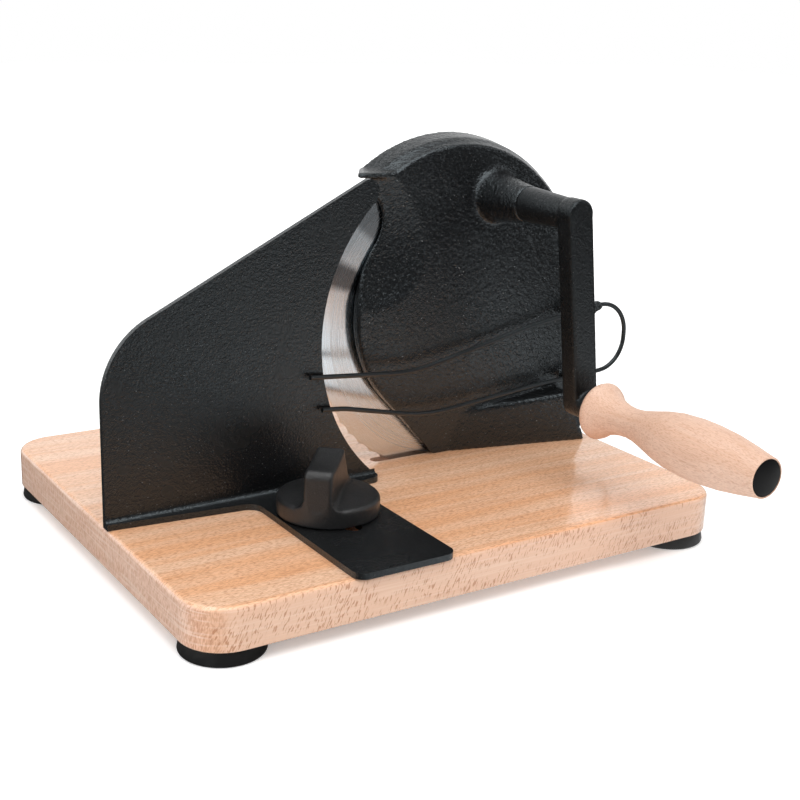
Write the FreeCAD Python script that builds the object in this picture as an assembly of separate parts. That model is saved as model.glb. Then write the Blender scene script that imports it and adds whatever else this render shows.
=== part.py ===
import FreeCAD, Part
import math
import os

# Hand-cranked slicer with a circular blade on a wooden board, in millimetres.
# Work space: X along the board's long edge, Y away from the crank side, Z up from the board's top face.
# Every piece is moved into the part's own frame when it is written.

# Board
board_length = 290.0
board_width = 240.0
board_thickness = 20.0
board_corner_radius = 20.0
board_edge_radius = 2.5
board_bottom_radius = 0.8

# Rubber feet and their screws
foot_diameter = 38.0
foot_height = 7.0
foot_taper = 1.2
foot_edge_radius = 1.2
foot_inset = 19.5
foot_recess_diameter = 14.0
foot_recess_depth = 4.0
foot_screw_diameter = 4.0
foot_screw_length = 16.0
foot_screw_head_diameter = 8.5
foot_screw_head_height = 2.6
foot_screw_head_edge = 1.0
foot_screw_crown_diameter = 6.0
foot_screw_point_length = 1.5
foot_screw_point_radius = 0.4
foot_screw_cross_length = 4.25
foot_screw_cross_width = 1.0
foot_screw_cross_depth = 1.2

# General clearances and walls
running_gap = 0.3
shaft_clearance = 0.05
washer_clearance = 0.1
screw_hole_clearance = 0.2
screw_hole_spare = 0.5
casting_wall = 3.0

# Blade
blade_diameter = 170.0
blade_thickness = 1.2
blade_centre_x = 60.0
blade_sink = 11.2
blade_front_y = 4.1
scallop_count = 60
scallop_depth = 1.3
bevel_width = 9.0
edge_thickness = 0.35
front_bevel_width = 1.6
front_bevel_depth = 0.4
blade_rim_margin = 0.5

# Gears between crank and blade
gear_edge_inset = 1.0
blade_gear_teeth = 66
pinion_teeth = 22
gear_thickness = 3.0
pressure_angle = 20.0
tooth_thinning = 0.10
root_clearance = 0.35
crank_bearing_angle = 74.0
hub_diameter = 24.0
hub_length = 2.0

# Blade bearing
axle_diameter = 10.0
axle_embedment = 5.0
axle_boss_wall = 4.0
bush_wall = 2.0
thrust_washer_thickness = 0.8
cap_washer_thickness = 0.8
cap_washer_diameter = 18.0
blade_screw_diameter = 6.0
blade_screw_length = 9.0
blade_screw_head_diameter = 22.0
blade_screw_head_height = 2.6
blade_screw_head_edge = 0.8
blade_screw_head_chamfer = 2.0
coin_slot_width = 2.4
coin_slot_depth = 1.2
coin_slot_turn = 35.0
rivet_count = 6
rivet_diameter = 4.0
rivet_head_diameter = 7.0
rivet_head_height = 0.8
rivet_circle_radius = 30.0

# Housing: face wall, guard rim and visor
front_edge_y = 0.0
rim_back_y = 17.4
rim_bend_y = 4.6
rim_bend_share = 0.55
rim_crown_gap = 6.2
rim_crown_rise = 4.3
rim_front_inset = 9.35
rim_back_inset = 0.25
rim_centre_offset = 1.2
rim_turn_angle = 40.0
rim_side_gap = 5.5
rim_side_flare = 4.5
rim_wall = 2.6
visor_drop = 12.6
visor_tip_inset = 20.9
visor_back_inset = 32.2
front_edge_round = 1.8
exposed_blade = 20.4
opening_offset_x = 1.3
opening_offset_z = 5.7
opening_slope = 47.7
neck_drop = 35.9
neck_bulge = 3.75
neck_rise = 11.5
neck_lean = 3.0
neck_run = 10.0
neck_top_inset = 6.85
lip_gap = 0.5
gear_pocket_gap = 1.0
dome_inset = 15.0
dome_height = 4.5
dome_hollow_inset = 6.5
scoop_radius = 120.0
scoop_circle = 36.1
scoop_inset = 2.05
scoop_angle = 143.9
neck_web_width = 30.0
foot_web_width = 4.0
foot_web_height = 35.0

# Housing foot: a wedge that widens to the right
wedge_tip_inset = 2.9
wedge_left_inset = 1.9
wedge_left_reach = 0.9
wedge_right_inset = 13.5
wedge_right_reach = 18.5
wedge_left_height = 22.6
wedge_right_height = 29.0
wedge_end_lean = 19.0
wedge_edge_round = 2.5
wedge_tip_taper = 2.5
wedge_left_taper = 1.4
rear_pad_gap = 2.0
rear_pad_height = 15.0

# Crank boss, bushes and shaft
boss_base_radius = 12.6
boss_tip_radius = 9.1
boss_length = 29.2
boss_flare = 3.4
boss_flare_step = 0.8
crank_bush_diameter = 13.0
crank_bush_length = 12.0
shaft_diameter = 10.0
shaft_journal_diameter = 8.0
shaft_flat_depth = 1.0
grub_seat_length = 8.0

# Crank arm
hub_arm_radius = 7.7
arm_front_reach = 70.3
arm_thickness = 11.0
arm_width = 14.6
arm_top_radius = 8.2
arm_shoulder_drop = 1.0
crank_radius = 97.0
crank_tilt = 7.3
arm_edge_round = 1.6
arm_boss_radius = 6.4
arm_boss_length = 9.0
hub_skin = 3.0
grub_screw_diameter = 5.0
grub_screw_length = 3.2
grub_screw_distance = 16.0
grub_socket_width = 2.5
grub_socket_depth = 1.4

# Handle on its spindle
spindle_diameter = 8.0
spindle_head_diameter = 11.0
spindle_head_height = 1.5
handle_length = 109.7
handle_flange_radius = 14.5
handle_neck_radius = 7.5
handle_grip_radius = 14.5
handle_end_radius = 9.7
handle_end_round = 0.9
handle_bore_clearance = 0.1
end_cap_radius = 8.7
end_cap_depth = 3.0
end_cap_bulge = 0.8
end_cap_edge = 0.9
end_pocket_radius = 6.5
end_pocket_depth = 11.0
handle_washer_thickness = 1.2
handle_screw_diameter = 4.0
handle_screw_head_diameter = 7.5
handle_screw_head_height = 2.6
handle_screw_length = 9.0
handle_socket_width = 3.0
handle_socket_floor = 1.0

# Stop plate with its flange and tongue
plate_front_y = -20.0
plate_thickness = 3.0
plate_corner_height = 57.9
plate_corner_radius = 42.0
plate_tip_angle = 133.7
plate_tip_rise = 13.4
plate_tip_lead = 0.9
plate_tip_side = 1.8
plate_tip_radius = 5.0
cutout_gap = 9.1
flange_thickness = 3.0
flange_left_depth = 2.4
flange_mid_depth = 8.2
flange_right_depth = 5.6
flange_right_x = -1.2
flange_right_run = 6.0
flange_right_bulge = 0.9
flange_right_lean = 2.0
flange_fillet = 2.5
tongue_left_x = -73.3
tongue_right_x = -22.0
tongue_overhang = 2.6
tongue_corner_radius = 6.0
tongue_root_radius = 7.0
plate_travel = 14.0

# Clamp of the stop plate
knob_x = -48.3
knob_y = -53.3
knob_radius = 24.4
knob_rim_height = 8.6
knob_cone_height = 3.5
knob_edge_round = 1.2
fin_width = 13.6
fin_front_height = 26.8
fin_front_lean = 1.0
fin_front_round = 4.0
fin_sag = 0.5
fin_back_height = 30.0
fin_back_round = 2.4
fin_end_height = 1.0
fin_length = 42.0
fin_top_length = 29.5
fin_turn = 42.0
fin_edge_round = 1.8
fin_foot_round = 4.0
clamp_bolt_diameter = 8.0
clamp_bolt_head_diameter = 17.0
clamp_bolt_head_height = 4.0
clamp_bolt_head_chamfer = 2.5
clamp_bolt_head_edge = 1.8
clamp_bolt_head_rim = 0.3
clamp_bolt_washer_diameter = 20.0
clamp_bolt_washer_thickness = 1.5
clamp_recess_depth = 8.0
clamp_bolt_top = 19.0
clamp_slot_clearance = 0.3
clamp_slot_reserve = 9.0
clamp_washer_diameter = 20.0
clamp_washer_thickness = 1.2
knob_insert_diameter = 13.0
knob_insert_length = 12.0
key_width = 8.0
key_length = 8.0
key_drop = 5.0
key_peg_diameter = 4.0
key_peg_height = 1.8
key_corner_radius = 2.4
key_spacing = 1.5
groove_clearance = 0.3
groove_end_gap = 2.0
groove_depth = 6.0

# Screws that hold the housing to the board
frame_screw_diameter = 5.0
frame_screw_bite = 12.0
frame_screw_head_diameter = 9.5
frame_screw_head_height = 3.0
frame_screw_head_edge = 1.8
frame_screw_head_chamfer = 1.4
frame_screw_cross_length = 4.75
frame_screw_cross_width = 1.1
frame_screw_cross_depth = 1.6
frame_washer_diameter = 13.0
frame_washer_thickness = 1.2
frame_recess_depth = 8.0
recess_clearance = 1.0
frame_post_wall = 2.4
frame_post_cover = 3.0
frame_screw_offsets = [(-45.0, -4.4), (-13.0, -9.5), (-6.0, 10.5)]

# Groove in the board for the lower edge of the blade
blade_slot_end_gap = 7.0
blade_slot_width = 6.1
blade_slot_depth = 14.0
blade_slot_shift = 0.6

# Slice guide: one wire bent to a hairpin, and the two lugs that hold it.
# Its bends are placed from the housing's right side, ahead of the face wall, and above the board;
# its ends and the last bend are placed from the left edge of the stop plate's cut-out.
wire_diameter = 2.4
wire_hole_clearance = 0.05
wire_plate_gap = 2.8
wire_upper_end = (-7.7, 59.2)
wire_upper = [(-127.4, 12.1, 51.6), (-49.4, 8.2, 67.0), (20.5, 6.6, 76.6)]
wire_lower = [(20.5, 6.6, 36.4), (-48.3, 8.4, 32.6), (-118.6, 11.7, 27.2)]
wire_last_bend = (12.1, 19.0, 40.6)
wire_lower_end = (-0.8, 42.0)
wire_bend_radii = [95.0, 160.0, 18.0, 18.0, 160.0, 95.0, 60.0]
lug_radius = 2.9
lug_length = 22.5
lug_web_inset = 2.0
lug_web_drop = 0.6
lug_web_overlap = 0.5

# Overshoot of a cutting body past the face it opens, and reach of the large trimming blocks
overshoot = 1.0
trim_reach = 400.0

# Places worked out from the sizes above
origin = FreeCAD.Vector(0, 0, 0)
y_axis = FreeCAD.Vector(0, 1, 0)
z_axis = FreeCAD.Vector(0, 0, 1)

blade_radius = blade_diameter / 2
blade_centre_z = blade_radius - blade_sink
blade_back_y = blade_front_y + blade_thickness
gear_front_y = blade_front_y - gear_thickness
hub_end_y = blade_back_y + hub_length - blade_thickness
wall_back_y = gear_front_y - 2 * running_gap
face_y = wall_back_y - casting_wall
# The pinion's tips stay inside the blade's edge, as seen from the front
gear_module = (blade_radius - gear_edge_inset) / (blade_gear_teeth / 2 + pinion_teeth + 1)
centre_distance = gear_module * (blade_gear_teeth + pinion_teeth) / 2
crank_x = blade_centre_x + centre_distance * math.cos(math.radians(crank_bearing_angle))
crank_z = blade_centre_z + centre_distance * math.sin(math.radians(crank_bearing_angle))
boss_tip_y = face_y - boss_length
arm_front_y = face_y - arm_front_reach
arm_back_y = arm_front_y + arm_thickness
handle_x = crank_x + crank_radius * math.sin(math.radians(crank_tilt))
handle_z = crank_z - crank_radius * math.cos(math.radians(crank_tilt))
handle_start_y = arm_front_y - arm_boss_length - running_gap
handle_end_y = handle_start_y - handle_length
plate_back_y = plate_front_y + plate_thickness
board_front_y = -board_width / 2
board_left_x = -board_length / 2
crown_z = blade_centre_z + blade_radius + rim_crown_gap
side_x = blade_centre_x + blade_radius + rim_side_gap
visor_z = crown_z - visor_drop
visor_tip_x = blade_centre_x - blade_radius + visor_tip_inset
visor_back_x = blade_centre_x - blade_radius + visor_back_inset
rim_centre_x = blade_centre_x - rim_centre_offset
wedge_left_x = blade_centre_x - wedge_left_inset
wedge_left_y = face_y - wedge_left_reach
wedge_right_x = side_x - wedge_right_inset
wedge_right_y = face_y - wedge_right_reach
cutout_radius = blade_radius + cutout_gap
cutout_left_x = blade_centre_x - cutout_radius
frame_screw_places = [(wedge_right_x + x, y) for x, y in frame_screw_offsets]
lip_back_y = blade_front_y - lip_gap

# Stack along the blade's axle, from the boss in the housing to the screw behind
boss_end_y = gear_front_y - running_gap - thrust_washer_thickness
axle_front_y = boss_end_y - axle_embedment
axle_end_y = hub_end_y + running_gap
cap_washer_end_y = axle_end_y + cap_washer_thickness

# The crank shaft reaches from the pinion's back to the closed end of the bore in the arm
shaft_end_y = arm_front_y + hub_skin
pinion_front_y = wall_back_y + running_gap
pinion_back_y = blade_front_y - running_gap
grub_screw_y = boss_tip_y - grub_screw_distance

# Stack along the clamp bolt; the washer under the knob lies a running gap above the tongue
knob_base_z = flange_thickness + running_gap
washer_top_z = knob_base_z + clamp_washer_thickness
insert_base_z = washer_top_z + running_gap
clamp_seat_z = clamp_recess_depth - board_thickness

# Guide keys: their places along the tongue, ahead of and behind the clamp bolt
key_gap = clamp_bolt_diameter / 2 + key_spacing
back_key_y = knob_y + key_gap
front_key_y = knob_y - key_gap - plate_travel - clamp_slot_reserve - key_length - key_spacing

# The part's own frame has its origin at the centre of its base, on the surface that it stands on
low_x = board_left_x
high_x = side_x + wire_upper[-1][0] + wire_diameter / 2
low_y = handle_end_y - end_cap_bulge
high_y = board_width / 2
frame_shift = FreeCAD.Vector(
    -(low_x + high_x) / 2, -(low_y + high_y) / 2, board_thickness + foot_height)


def vec(x, y, z):
    return FreeCAD.Vector(x, y, z)


def rod(radius, start, end):
    direction = end - start
    return Part.makeCylinder(radius, direction.Length, start, direction)


def rod_y(radius, x, z, y_start, y_end):
    return rod(radius, vec(x, y_start, z), vec(x, y_end, z))


def rod_z(radius, x, y, z_start, z_end):
    return rod(radius, vec(x, y, z_start), vec(x, y, z_end))


def box(low, high):
    size = vec(*high) - vec(*low)
    return Part.makeBox(size.x, size.y, size.z, vec(*low))


def line(a, b):
    return Part.LineSegment(a, b).toShape()


def arc(a, b, c):
    return Part.Arc(a, b, c).toShape()


def closed_face(edges):
    return Part.Face(Part.Wire(edges))


def polygon_xz(points, y):
    return [vec(x, y, z) for x, z in points]


def slab_xz(edges, y_start, y_end):
    """A solid with an outline in the XZ plane at y_start, as deep as y_end."""
    return closed_face(edges).extrude(vec(0, y_end - y_start, 0))


def straight_edges(points):
    return [line(a, b) for a, b in zip(points, points[1:] + points[:1])]


def turned_y(profile, x, z):
    """A solid of revolution about the Y line through x, z; the profile holds (radius, y) pairs."""
    points = [vec(x + radius, y, z) for radius, y in profile]
    face = closed_face(straight_edges(points))
    return face.revolve(vec(x, 0, z), y_axis, 360)


def turned_z(profile, x, y):
    """A solid of revolution about the upright line through x, y; the profile holds (radius, z) pairs."""
    points = [vec(x + radius, y, z) for radius, z in profile]
    face = closed_face(straight_edges(points))
    return face.revolve(vec(x, y, 0), z_axis, 360)


def cross_recess(x, y, low, length, width, depth):
    """Two crossed slots in the lower face of a screw head."""
    slots = []
    for size_x, size_y in ((length, width), (width, length)):
        slots.append(box((x - size_x / 2, y - size_y / 2, low - overshoot),
                         (x + size_x / 2, y + size_y / 2, low + depth)))
    return slots


def edges_near(shape, test):
    return [edge for edge in shape.Edges if test(edge)]


def middle(edge):
    return edge.valueAt((edge.FirstParameter + edge.LastParameter) / 2)


def rounded_rectangle(length, width, radius, z):
    half_x = length / 2
    half_y = width / 2
    diagonal = radius * (1 - math.sqrt(0.5))
    edges = []
    for turn in range(4):
        long_side = turn % 2 == 0
        reach = half_x if long_side else half_y
        side = half_y if long_side else half_x
        start = vec(-reach + radius, -side, z)
        end = vec(reach - radius, -side, z)
        corner = vec(reach - diagonal, -side + diagonal, z)
        after = vec(reach, -side + radius, z)
        pieces = [line(start, end), arc(end, corner, after)]
        for piece in pieces:
            piece.rotate(origin, z_axis, 90 * turn)
            edges.append(piece)
    return closed_face(edges)


def foot_places():
    reach_x = board_length / 2 - foot_inset
    reach_y = board_width / 2 - foot_inset
    return [(sx * reach_x, sy * reach_y) for sx in (-1, 1) for sy in (-1, 1)]


def slot_outline(x, y_front, y_back, width, z):
    """An upright slot outline with round ends, running along Y."""
    r = width / 2
    return closed_face([
        line(vec(x - r, y_front, z), vec(x - r, y_back, z)),
        arc(vec(x - r, y_back, z), vec(x, y_back + r, z), vec(x + r, y_back, z)),
        line(vec(x + r, y_back, z), vec(x + r, y_front, z)),
        arc(vec(x + r, y_front, z), vec(x, y_front - r, z), vec(x - r, y_front, z)),
    ])


def make_board():
    body = rounded_rectangle(board_length, board_width, board_corner_radius, -board_thickness)
    body = body.extrude(vec(0, 0, board_thickness))
    top_rim = edges_near(body, lambda e: middle(e).z > -1e-6)
    body = body.makeFillet(board_edge_radius, top_rim)
    bottom_rim = edges_near(body, lambda e: e.BoundBox.ZMax < 1e-3 - board_thickness)
    body = body.makeFillet(board_bottom_radius, bottom_rim)
    half_chord = math.sqrt(blade_radius ** 2 - blade_centre_z ** 2)
    slot_left = blade_centre_x - half_chord - blade_slot_end_gap
    slot_right = blade_centre_x + half_chord + blade_slot_end_gap
    slot_y = (blade_front_y + blade_back_y) / 2 - blade_slot_shift
    r = blade_slot_width / 2
    slot = slot_outline(0, slot_left + r, slot_right - r, blade_slot_width, overshoot)
    slot.rotate(origin, z_axis, -90)
    slot.translate(vec(0, slot_y, 0))
    body = body.cut(slot.extrude(vec(0, 0, -blade_slot_depth - overshoot)))
    groove_width = key_width + 2 * groove_clearance
    groove_front = front_key_y - groove_end_gap + groove_width / 2
    groove_back = back_key_y + key_length + plate_travel + groove_end_gap - groove_width / 2
    groove = slot_outline(knob_x, groove_front, groove_back, groove_width, overshoot)
    body = body.cut(groove.extrude(vec(0, 0, -groove_depth - overshoot)))
    below = -board_thickness - overshoot
    bolt_hole = clamp_bolt_diameter / 2 + screw_hole_clearance
    body = body.cut(rod_z(bolt_hole, knob_x, knob_y, below, overshoot))
    recess_radius = clamp_bolt_washer_diameter / 2 + recess_clearance
    body = body.cut(rod_z(recess_radius, knob_x, knob_y, below, clamp_seat_z))
    for x, y in frame_screw_places:
        body = body.cut(rod_z(frame_screw_diameter / 2 + screw_hole_clearance, x, y, below, overshoot))
        radius = frame_washer_diameter / 2 + recess_clearance
        body = body.cut(rod_z(radius, x, y, below, frame_recess_depth - board_thickness))
    for x, y in foot_places():
        depth = foot_screw_length - (foot_height - foot_recess_depth) + screw_hole_spare
        body = body.cut(rod_z(foot_screw_diameter / 2, x, y, below, depth - board_thickness))
    return body


def make_feet():
    feet = []
    for x, y in foot_places():
        top = -board_thickness
        low = top - foot_height
        radius = foot_diameter / 2
        foot = turned_z([
            (0, top), (radius - foot_taper, top), (radius, low + foot_edge_radius),
            (radius - foot_edge_radius, low), (0, low)], x, y)
        foot = foot.cut(rod_z(foot_recess_diameter / 2, x, y, low - overshoot, low + foot_recess_depth))
        hole = foot_screw_diameter / 2 + screw_hole_clearance
        foot = foot.cut(rod_z(hole, x, y, low - overshoot, top + overshoot))
        feet.append(foot)
    return Part.makeCompound(feet)


def make_foot_screws():
    screws = []
    for x, y in foot_places():
        seat = -board_thickness - foot_height + foot_recess_depth
        point_z = seat + foot_screw_length - foot_screw_point_length
        shank = rod_z(foot_screw_diameter / 2, x, y, seat, point_z)
        point = Part.makeCone(foot_screw_diameter / 2, foot_screw_point_radius, foot_screw_point_length,
                              vec(x, y, point_z), z_axis)
        r = foot_screw_head_diameter / 2
        low = seat - foot_screw_head_height
        head = turned_z([(0, seat), (r, seat), (r, seat - foot_screw_head_edge),
                         (foot_screw_crown_diameter / 2, low), (0, low)], x, y)
        cross = cross_recess(x, y, low, foot_screw_cross_length, foot_screw_cross_width,
                             foot_screw_cross_depth)
        screws.append(head.fuse([shank, point]).cut(cross))
    return Part.makeCompound(screws)


def gear_face(teeth, x, z, y, first_tooth_angle):
    """An involute gear outline in the XZ plane; one tooth is centred on first_tooth_angle."""
    pitch_radius = gear_module * teeth / 2
    base_radius = pitch_radius * math.cos(math.radians(pressure_angle))
    tip_radius = pitch_radius + gear_module
    root_radius = pitch_radius - gear_module - root_clearance
    half_tooth = math.pi / (2 * teeth) - tooth_thinning / (2 * pitch_radius)

    def involute(angle):
        return math.tan(angle) - angle

    pitch_involute = involute(math.radians(pressure_angle))
    flank_start = max(base_radius, root_radius)
    steps = 4
    flank = []
    for step in range(steps + 1):
        radius = flank_start + (tip_radius - flank_start) * step / steps
        roll = math.acos(min(1.0, base_radius / radius))
        flank.append((radius, half_tooth + pitch_involute - involute(roll)))

    def at(radius, angle):
        return vec(x + radius * math.cos(angle), y, z + radius * math.sin(angle))

    edges = []
    pitch_angle = 2 * math.pi / teeth
    for tooth in range(teeth):
        middle_angle = math.radians(first_tooth_angle) + tooth * pitch_angle
        rising = [at(radius, middle_angle - half) for radius, half in flank]
        falling = [at(radius, middle_angle + half) for radius, half in reversed(flank)]
        root_half = flank[0][1]
        root_in = at(root_radius, middle_angle - root_half)
        root_out = at(root_radius, middle_angle + root_half)
        next_in = at(root_radius, middle_angle + pitch_angle - root_half)
        if flank_start > root_radius + 1e-6:
            edges.append(line(root_in, rising[0]))
        curve = Part.BSplineCurve()
        curve.interpolate(rising)
        edges.append(curve.toShape())
        edges.append(arc(rising[-1], at(tip_radius, middle_angle), falling[0]))
        curve = Part.BSplineCurve()
        curve.interpolate(falling)
        edges.append(curve.toShape())
        if flank_start > root_radius + 1e-6:
            edges.append(line(falling[-1], root_out))
        edges.append(arc(root_out, at(root_radius, middle_angle + pitch_angle / 2), next_in))
    return closed_face(edges)


def rivet_places():
    places = []
    for index in range(rivet_count):
        angle = 2 * math.pi * index / rivet_count
        places.append((blade_centre_x + rivet_circle_radius * math.cos(angle),
                       blade_centre_z + rivet_circle_radius * math.sin(angle)))
    return places


def make_blade():
    pitch = 2 * math.pi / scallop_count

    def at(radius, angle):
        return vec(blade_centre_x + radius * math.cos(angle), blade_front_y,
                   blade_centre_z + radius * math.sin(angle))

    edges = []
    for index in range(scallop_count):
        angle = index * pitch
        edges.append(arc(at(blade_radius, angle), at(blade_radius - scallop_depth, angle + pitch / 2),
                         at(blade_radius, angle + pitch)))
    body = slab_xz(edges, blade_front_y, blade_back_y)
    bevel_start = blade_radius - bevel_width
    tip_y = blade_front_y + front_bevel_depth
    rim = blade_radius + blade_rim_margin
    lens = turned_y([
        (hub_diameter / 2, blade_front_y), (blade_radius - front_bevel_width, blade_front_y),
        (rim, tip_y), (rim, tip_y + edge_thickness),
        (bevel_start, blade_back_y), (hub_diameter / 2, blade_back_y)], blade_centre_x, blade_centre_z)
    body = body.common(lens)
    for x, z in rivet_places():
        body = body.cut(rod_y(rivet_diameter / 2, x, z, blade_front_y - overshoot, blade_back_y + overshoot))
    return body


def make_blade_gear():
    mesh_angle = crank_bearing_angle
    face = gear_face(blade_gear_teeth, blade_centre_x, blade_centre_z, gear_front_y, mesh_angle)
    body = face.extrude(vec(0, gear_thickness, 0))
    body = body.fuse(rod_y(hub_diameter / 2, blade_centre_x, blade_centre_z, gear_front_y, hub_end_y))
    bore = axle_diameter / 2 + bush_wall
    start_y = gear_front_y - overshoot
    body = body.cut(rod_y(bore, blade_centre_x, blade_centre_z, start_y, hub_end_y + overshoot))
    for x, z in rivet_places():
        body = body.cut(rod_y(rivet_diameter / 2, x, z, start_y, blade_front_y + overshoot))
    return body


def make_rivets():
    rivets = []
    for x, z in rivet_places():
        shank = rod_y(rivet_diameter / 2, x, z, gear_front_y, blade_back_y)
        head = Part.makeCone(rivet_head_diameter / 2, rivet_diameter / 2, rivet_head_height,
                             vec(x, blade_back_y, z), y_axis)
        rivets.append(shank.fuse(head))
    return Part.makeCompound(rivets)


def make_blade_bush():
    outer = rod_y(axle_diameter / 2 + bush_wall, blade_centre_x, blade_centre_z, gear_front_y, hub_end_y)
    inner = axle_diameter / 2 + shaft_clearance
    return outer.cut(rod_y(inner, blade_centre_x, blade_centre_z,
                           gear_front_y - overshoot, hub_end_y + overshoot))


def make_blade_axle():
    body = rod_y(axle_diameter / 2, blade_centre_x, blade_centre_z, axle_front_y, axle_end_y)
    return body.cut(rod_y(blade_screw_diameter / 2, blade_centre_x, blade_centre_z,
                          cap_washer_end_y - blade_screw_length, axle_end_y + overshoot))


def make_thrust_washer():
    back_y = boss_end_y + thrust_washer_thickness
    outer = rod_y(hub_diameter / 2, blade_centre_x, blade_centre_z, boss_end_y, back_y)
    return outer.cut(rod_y(axle_diameter / 2, blade_centre_x, blade_centre_z,
                           boss_end_y - overshoot, back_y + overshoot))


def make_cap_washer():
    outer = rod_y(cap_washer_diameter / 2, blade_centre_x, blade_centre_z, axle_end_y, cap_washer_end_y)
    return outer.cut(rod_y(blade_screw_diameter / 2, blade_centre_x, blade_centre_z,
                           axle_end_y - overshoot, cap_washer_end_y + overshoot))


def make_blade_screw():
    shank = rod_y(blade_screw_diameter / 2, blade_centre_x, blade_centre_z,
                  cap_washer_end_y - blade_screw_length, cap_washer_end_y)
    r = blade_screw_head_diameter / 2
    end_y = cap_washer_end_y + blade_screw_head_height
    head = turned_y([
        (0, cap_washer_end_y), (r, cap_washer_end_y), (r, cap_washer_end_y + blade_screw_head_edge),
        (r - blade_screw_head_chamfer, end_y), (0, end_y)], blade_centre_x, blade_centre_z)
    slot = box((blade_centre_x - r, end_y - coin_slot_depth, blade_centre_z - coin_slot_width / 2),
               (blade_centre_x + r, end_y + overshoot, blade_centre_z + coin_slot_width / 2))
    slot.rotate(vec(blade_centre_x, 0, blade_centre_z), y_axis, coin_slot_turn)
    return head.fuse(shank).cut(slot)


def rim_outline(y, radius, crown_z, right_x, inset=0.0):
    """Closed XZ outline of the guard rim: flat visor on the left, crown arc, wide right side."""
    turn = math.radians(rim_turn_angle)
    centre_z = crown_z - radius
    r = radius - inset
    top_z = visor_z - inset
    left_x = visor_tip_x - 2 * inset
    floor_z = -2 * inset
    start_angle = math.asin((top_z - centre_z) / r)
    start_x = rim_centre_x - r * math.cos(start_angle)
    join_x = rim_centre_x + radius * math.sin(turn)
    join_z = centre_z + radius * math.cos(turn)
    wide_radius = (right_x - join_x) / (1 - math.sin(turn))
    wide_x = join_x - wide_radius * math.sin(turn)
    wide_z = join_z - wide_radius * math.cos(turn)
    wide = wide_radius - inset

    def on_crown(angle):
        return vec(rim_centre_x + r * math.sin(angle), y, centre_z + r * math.cos(angle))

    def on_side(angle):
        return vec(wide_x + wide * math.sin(angle), y, wide_z + wide * math.cos(angle))

    left_low = vec(left_x, y, floor_z)
    left_high = vec(left_x, y, top_z)
    crown_start = vec(start_x, y, top_z)
    crown_end = on_crown(turn)
    side_end = on_side(math.pi / 2)
    foot_corner = vec(side_end.x, y, floor_z)
    middle_angle = (start_angle - math.pi / 2 + turn) / 2
    return [
        line(left_low, left_high), line(left_high, crown_start),
        arc(crown_start, on_crown(middle_angle), crown_end),
        arc(crown_end, on_side((turn + math.pi / 2) / 2), side_end),
        line(side_end, foot_corner), line(foot_corner, left_low)]


def rim_sections(inset=0.0):
    """Front, bend and back outlines of the guard rim."""
    front = (front_edge_y, blade_radius - rim_front_inset, crown_z, side_x)
    back = (rim_back_y, blade_radius - rim_back_inset, crown_z + rim_crown_rise, side_x + rim_side_flare)
    middle_values = [a + (b - a) * rim_bend_share for a, b in zip(front, back)]
    between = (rim_bend_y, *middle_values[1:])
    return [rim_outline(*section, inset) for section in (front, between, back)]


def rim_solid(inset=0.0):
    wires = [Part.Wire(edges) for edges in rim_sections(inset)]
    return Part.makeLoft(wires, True, True)


def opening_corners(y):
    """Where the face wall's left outline starts on the board, turns round the blade and becomes the neck."""
    cx = blade_centre_x + opening_offset_x
    cz = blade_centre_z + opening_offset_z
    radius = blade_radius - exposed_blade
    slope = math.radians(opening_slope)

    def on_circle(angle):
        return vec(cx + radius * math.cos(angle), y, cz + radius * math.sin(angle))

    # The straight stretch from the board is tangent to the circle
    tangent_angle = 1.5 * math.pi - slope
    tangent = on_circle(tangent_angle)
    foot = vec(tangent.x + tangent.z / math.tan(slope), y, 0)
    leave_angle = math.pi - math.asin((visor_z - neck_drop - cz) / radius)
    return foot, tangent, on_circle((tangent_angle + leave_angle) / 2), on_circle(leave_angle)


def opening_edge(y):
    """The left outline of the face wall beside the blade, up to the visor, and a wide closing box."""
    foot, tangent, side, leave = opening_corners(y)
    neck_mid = leave + vec(neck_bulge, 0, neck_rise)
    neck_end = neck_mid + vec(-neck_lean, 0, neck_run)
    neck_top = vec(leave.x - neck_top_inset, y, visor_z - rim_wall)
    corners = [neck_end, neck_top, vec(neck_top.x, y, trim_reach), vec(trim_reach, y, trim_reach),
               vec(trim_reach, y, 0), foot]
    edges = [line(foot, tangent), arc(tangent, side, leave), arc(leave, neck_mid, neck_end)]
    return edges + [line(a, b) for a, b in zip(corners, corners[1:])]


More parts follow.
